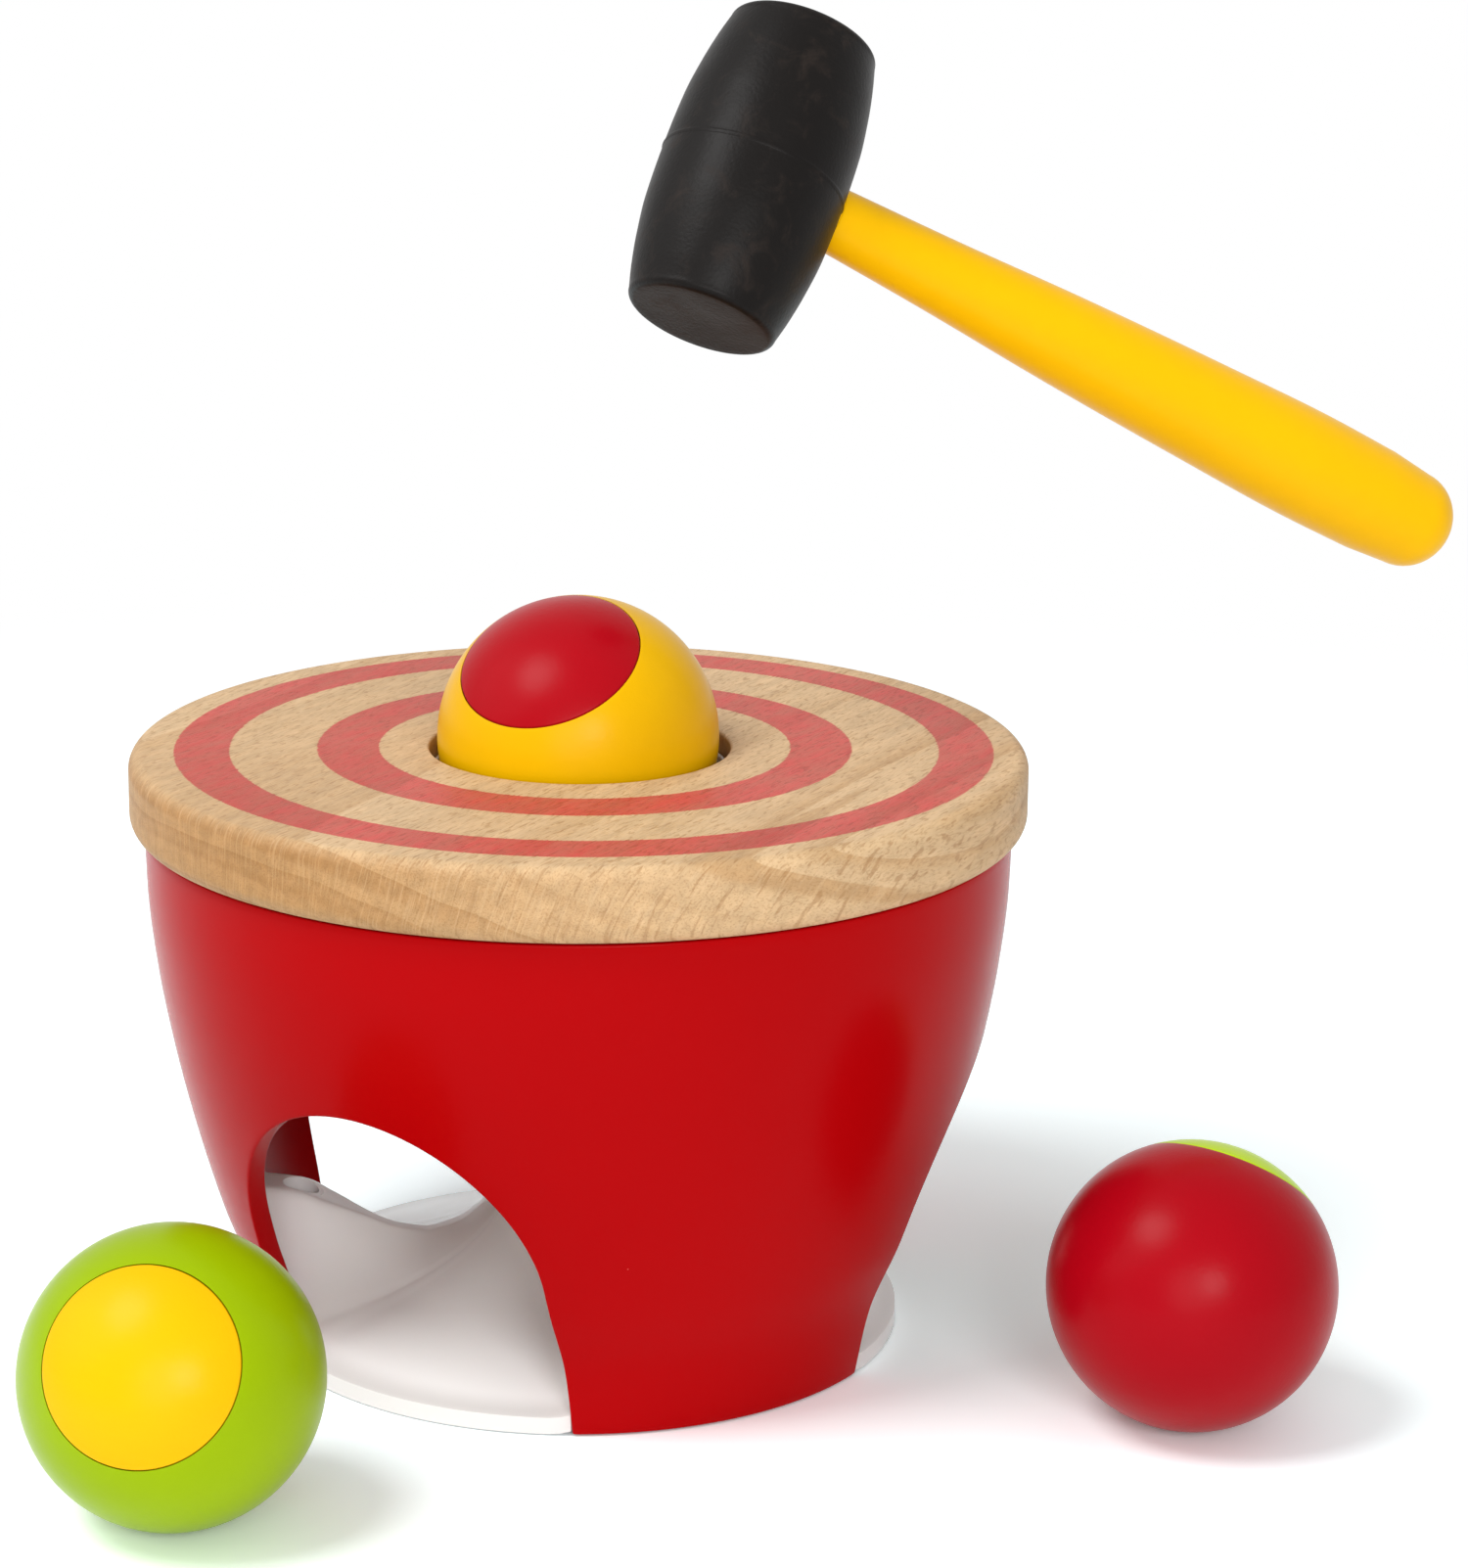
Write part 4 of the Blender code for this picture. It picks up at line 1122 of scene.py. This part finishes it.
malletSettings = {
    "headCentre": Vector((0.0166, 0.0309, 0.2070)),
    "headAxis": Vector((-0.0307, -0.5811, -0.8133)),
    "handleAxis": Vector((0.5854, 0.6670, -0.4609)),
    "headHalfLength": 0.0286,
    "headLengthShares": (0.0, 0.13, 0.355, 0.60, 0.80, 0.951),
    "headRadiusShares": (1.0, 0.998, 0.985, 0.936, 0.874, 0.811),
    "headBelly": 0.0169,
    "rimRound": 0.0014,
    "faceRise": 0.00018,
    "faceShares": (0.9, 0.75, 0.5, 0.25, 0.0),
    "partingHeight": 0.00018,
    "partingHalfWidth": 0.00045,
    "neckRadius": 0.0059,
    "gripRadius": 0.0103,
    "handleLength": 0.1578,
    "placeShares": (0.0, 0.167, 0.380, 0.593, 0.770, 0.876),
    "swellShares": (0.0, 0.220, 0.590, 0.850, 1.0, 0.952),
    "endRadius": 0.0093,
    "endLength": 0.0088,
    "neckInset": 0.0007,
    "tenonPastCentre": 0.0086,
    "tenonRadius": 0.0058,
    "tenonRound": 0.0004,
    "tenonStep": 0.0001,
    "socketRadius": 0.00593,
    "socketSpare": 0.0003,
    "headSteps": 144,
    "headRows": 56,
    "handleSteps": 96,
    "handleRows": 60,
}


def makeHead(settings):
    half, belly, small = settings["headHalfLength"], settings["headBelly"], settings["rimRound"]
    shares, radii = settings["headLengthShares"], settings["headRadiusShares"]
    upper = []
    for i in range(settings["headRows"] + 1):
        share = shares[-1] * i / settings["headRows"]
        z = half * share
        r = belly * smoothThrough(shares, radii, share)
        ridge = settings["partingHeight"] * max(0.0, 1 - z / settings["partingHalfWidth"])
        upper.append((r + ridge, z))
        if i == 0:
            upper.append((r, settings["partingHalfWidth"]))
    rim = belly * radii[-1]
    upper += arcPoints((rim - small, half - small), small, 8, 90, 8)
    flat = rim - small
    rise = settings["faceRise"]
    upper += [(flat * share, half - rise * (1 - share)) for share in settings["faceShares"]]
    lower = [(r, -z) for r, z in reversed(upper[1:])]
    bm = spinProfile(lower + upper, settings["headSteps"])
    aimAlong(bm, settings["headAxis"], settings["headCentre"])
    floor = -settings["tenonPastCentre"] - settings["socketSpare"]
    wide, mouth = settings["socketRadius"], 2 * belly
    profile = [(0.0, floor), (wide, floor), (wide, mouth), (0.0, mouth)]
    socket = spinProfile(profile, settings["handleSteps"])
    aimAlong(socket, settings["handleAxis"], settings["headCentre"])
    bm = carve(bm, socket)
    finishPiece("rubberHead", bm, "mallet", ["mallet_head"], [blackRubber], sharp=60)


def makeHandle(settings):
    length, start = settings["handleLength"], settings["headBelly"] - settings["neckInset"]
    tenon, past, small = settings["tenonRadius"], -settings["tenonPastCentre"], settings["tenonRound"]
    profile = [(0.0, past), (tenon - small, past), (tenon, past + small)]
    profile.append((tenon, start - settings["tenonStep"]))
    neck, grip, shares = settings["neckRadius"], settings["gripRadius"], settings["placeShares"]
    for i in range(settings["handleRows"] + 1):
        share = shares[-1] * i / settings["handleRows"]
        swell = smoothThrough(shares, settings["swellShares"], share)
        profile.append((neck + (grip - neck) * swell, start + (length - start) * share))
    for i in range(17):
        angle = math.pi / 2 * i / 16
        back = settings["endLength"] * (1 - math.sin(angle))
        profile.append((settings["endRadius"] * math.cos(angle), length - back))
    bm = spinProfile(profile, settings["handleSteps"])
    aimAlong(bm, settings["handleAxis"], settings["headCentre"])
    axis = settings["handleAxis"]
    turn = (0.0, math.atan2(axis.z, math.hypot(axis.x, axis.y)), -math.atan2(axis.y, axis.x))
    paint = makeLacquer("handleLacquer", lacquerSettings["handle"], turn, lacquerSettings)
    finishPiece("yellowHandle", bm, "mallet", ["mallet_handle"], [paint])


makeHead(malletSettings)
makeHandle(malletSettings)
print("mallet made")


# Floor and light: a pale floor that keeps the shadows, white all round for the camera and for gloss

studioSettings = {
    "floorDrop": 0.0003,
    "floorSize": 12.0,
    "floorColour": (0.93, 0.94, 0.95, 1.0),
    "floorShown": (1.17, 1.28, 1.30, 1.0),    # to the camera: bright, and cool against the tub's red bounce
    "fadeStart": 0.32,
    "fadeEnd": 0.60,
    "fadeLevel": 0.70,
    "worldLevel": 0.50,
    "lampAim": (0.0, 0.0, 0.06),
    "key": {"place": (-0.41, -0.77, 1.40), "size": 0.75, "power": 13.2},
    "front": {"place": (1.06, -1.06, 0.63), "size": 0.50, "power": 8.5},
    "left": {"place": (-0.95, -0.85, 1.05), "size": 1.6, "power": 5.5},
    "low": {"place": (0.60, -1.25, 0.45), "size": 0.8, "power": 5.0},
}


def whiteForCameraAndGloss(tree):
    path = addNode(tree, "ShaderNodeLightPath").outputs
    seen = calc(tree, "MAXIMUM", path["Is Camera Ray"], path["Is Glossy Ray"])
    return calc(tree, "MAXIMUM", seen, path["Is Transmission Ray"])


def makeFloor(settings):
    bm = bmesh.new()
    bmesh.ops.create_grid(bm, x_segments=2, y_segments=2, size=settings["floorSize"] / 2)
    bmesh.ops.translate(bm, vec=(0, 0, -settings["floorDrop"]), verts=bm.verts)
    mesh = meshFrom("paleFloor", bm)
    material = bpy.data.materials.new("paleFloor")
    material.use_nodes = True
    tree = material.node_tree
    tree.nodes.remove(tree.nodes["Principled BSDF"])
    seen = whiteForCameraAndGloss(tree)
    where = addNode(tree, "ShaderNodeTexCoord").outputs["Object"]
    away = vectorCalc(tree, "LENGTH", where, output="Value")
    far = softMask(tree, away, settings["fadeStart"], settings["fadeEnd"])
    colour = blendColour(tree, seen, settings["floorColour"], settings["floorShown"])
    near = addNode(tree, "ShaderNodeBsdfDiffuse", {"Color": colour}).outputs[0]
    level = timesPlus(tree, seen, 1.0 - settings["fadeLevel"], settings["fadeLevel"])
    beyond = addNode(tree, "ShaderNodeEmission", {"Strength": level}).outputs[0]
    mixed = addNode(tree, "ShaderNodeMixShader", {0: far, 1: near, 2: beyond}).outputs[0]
    tree.links.new(mixed, tree.nodes["Material Output"].inputs["Surface"])
    mesh.materials.append(material)
    addObject("paleFloor", mesh)


def makeWorld(settings):
    world = bpy.data.worlds.new("studio")
    world.use_nodes = True
    bpy.context.scene.world = world
    tree = world.node_tree
    seen = whiteForCameraAndGloss(tree)
    level = addNode(tree, "ShaderNodeMix", {0: seen, 2: settings["worldLevel"], 3: 1.0}, data_type="FLOAT")
    background = tree.nodes["Background"]
    background.inputs["Color"].default_value = (1.0, 1.0, 1.0, 1.0)
    tree.links.new(level.outputs[0], background.inputs["Strength"])


def makeLamp(name, lamp, aimAt):
    data = bpy.data.lights.new(name, "AREA")
    data.shape = "DISK"
    data.size = lamp["size"]
    data.energy = lamp["power"]
    aim = Vector(aimAt) - Vector(lamp["place"])
    turn = aim.to_track_quat("-Z", "Y").to_matrix().to_4x4()
    addObject(name, data).matrix_world = Matrix.Translation(lamp["place"]) @ turn


makeFloor(studioSettings)
makeWorld(studioSettings)
for name in ("key", "front", "left", "low"):
    makeLamp(name + "Lamp", studioSettings[name], studioSettings["lampAim"])
bpy.context.scene.view_settings.view_transform = "Standard"
print("floor and light set")
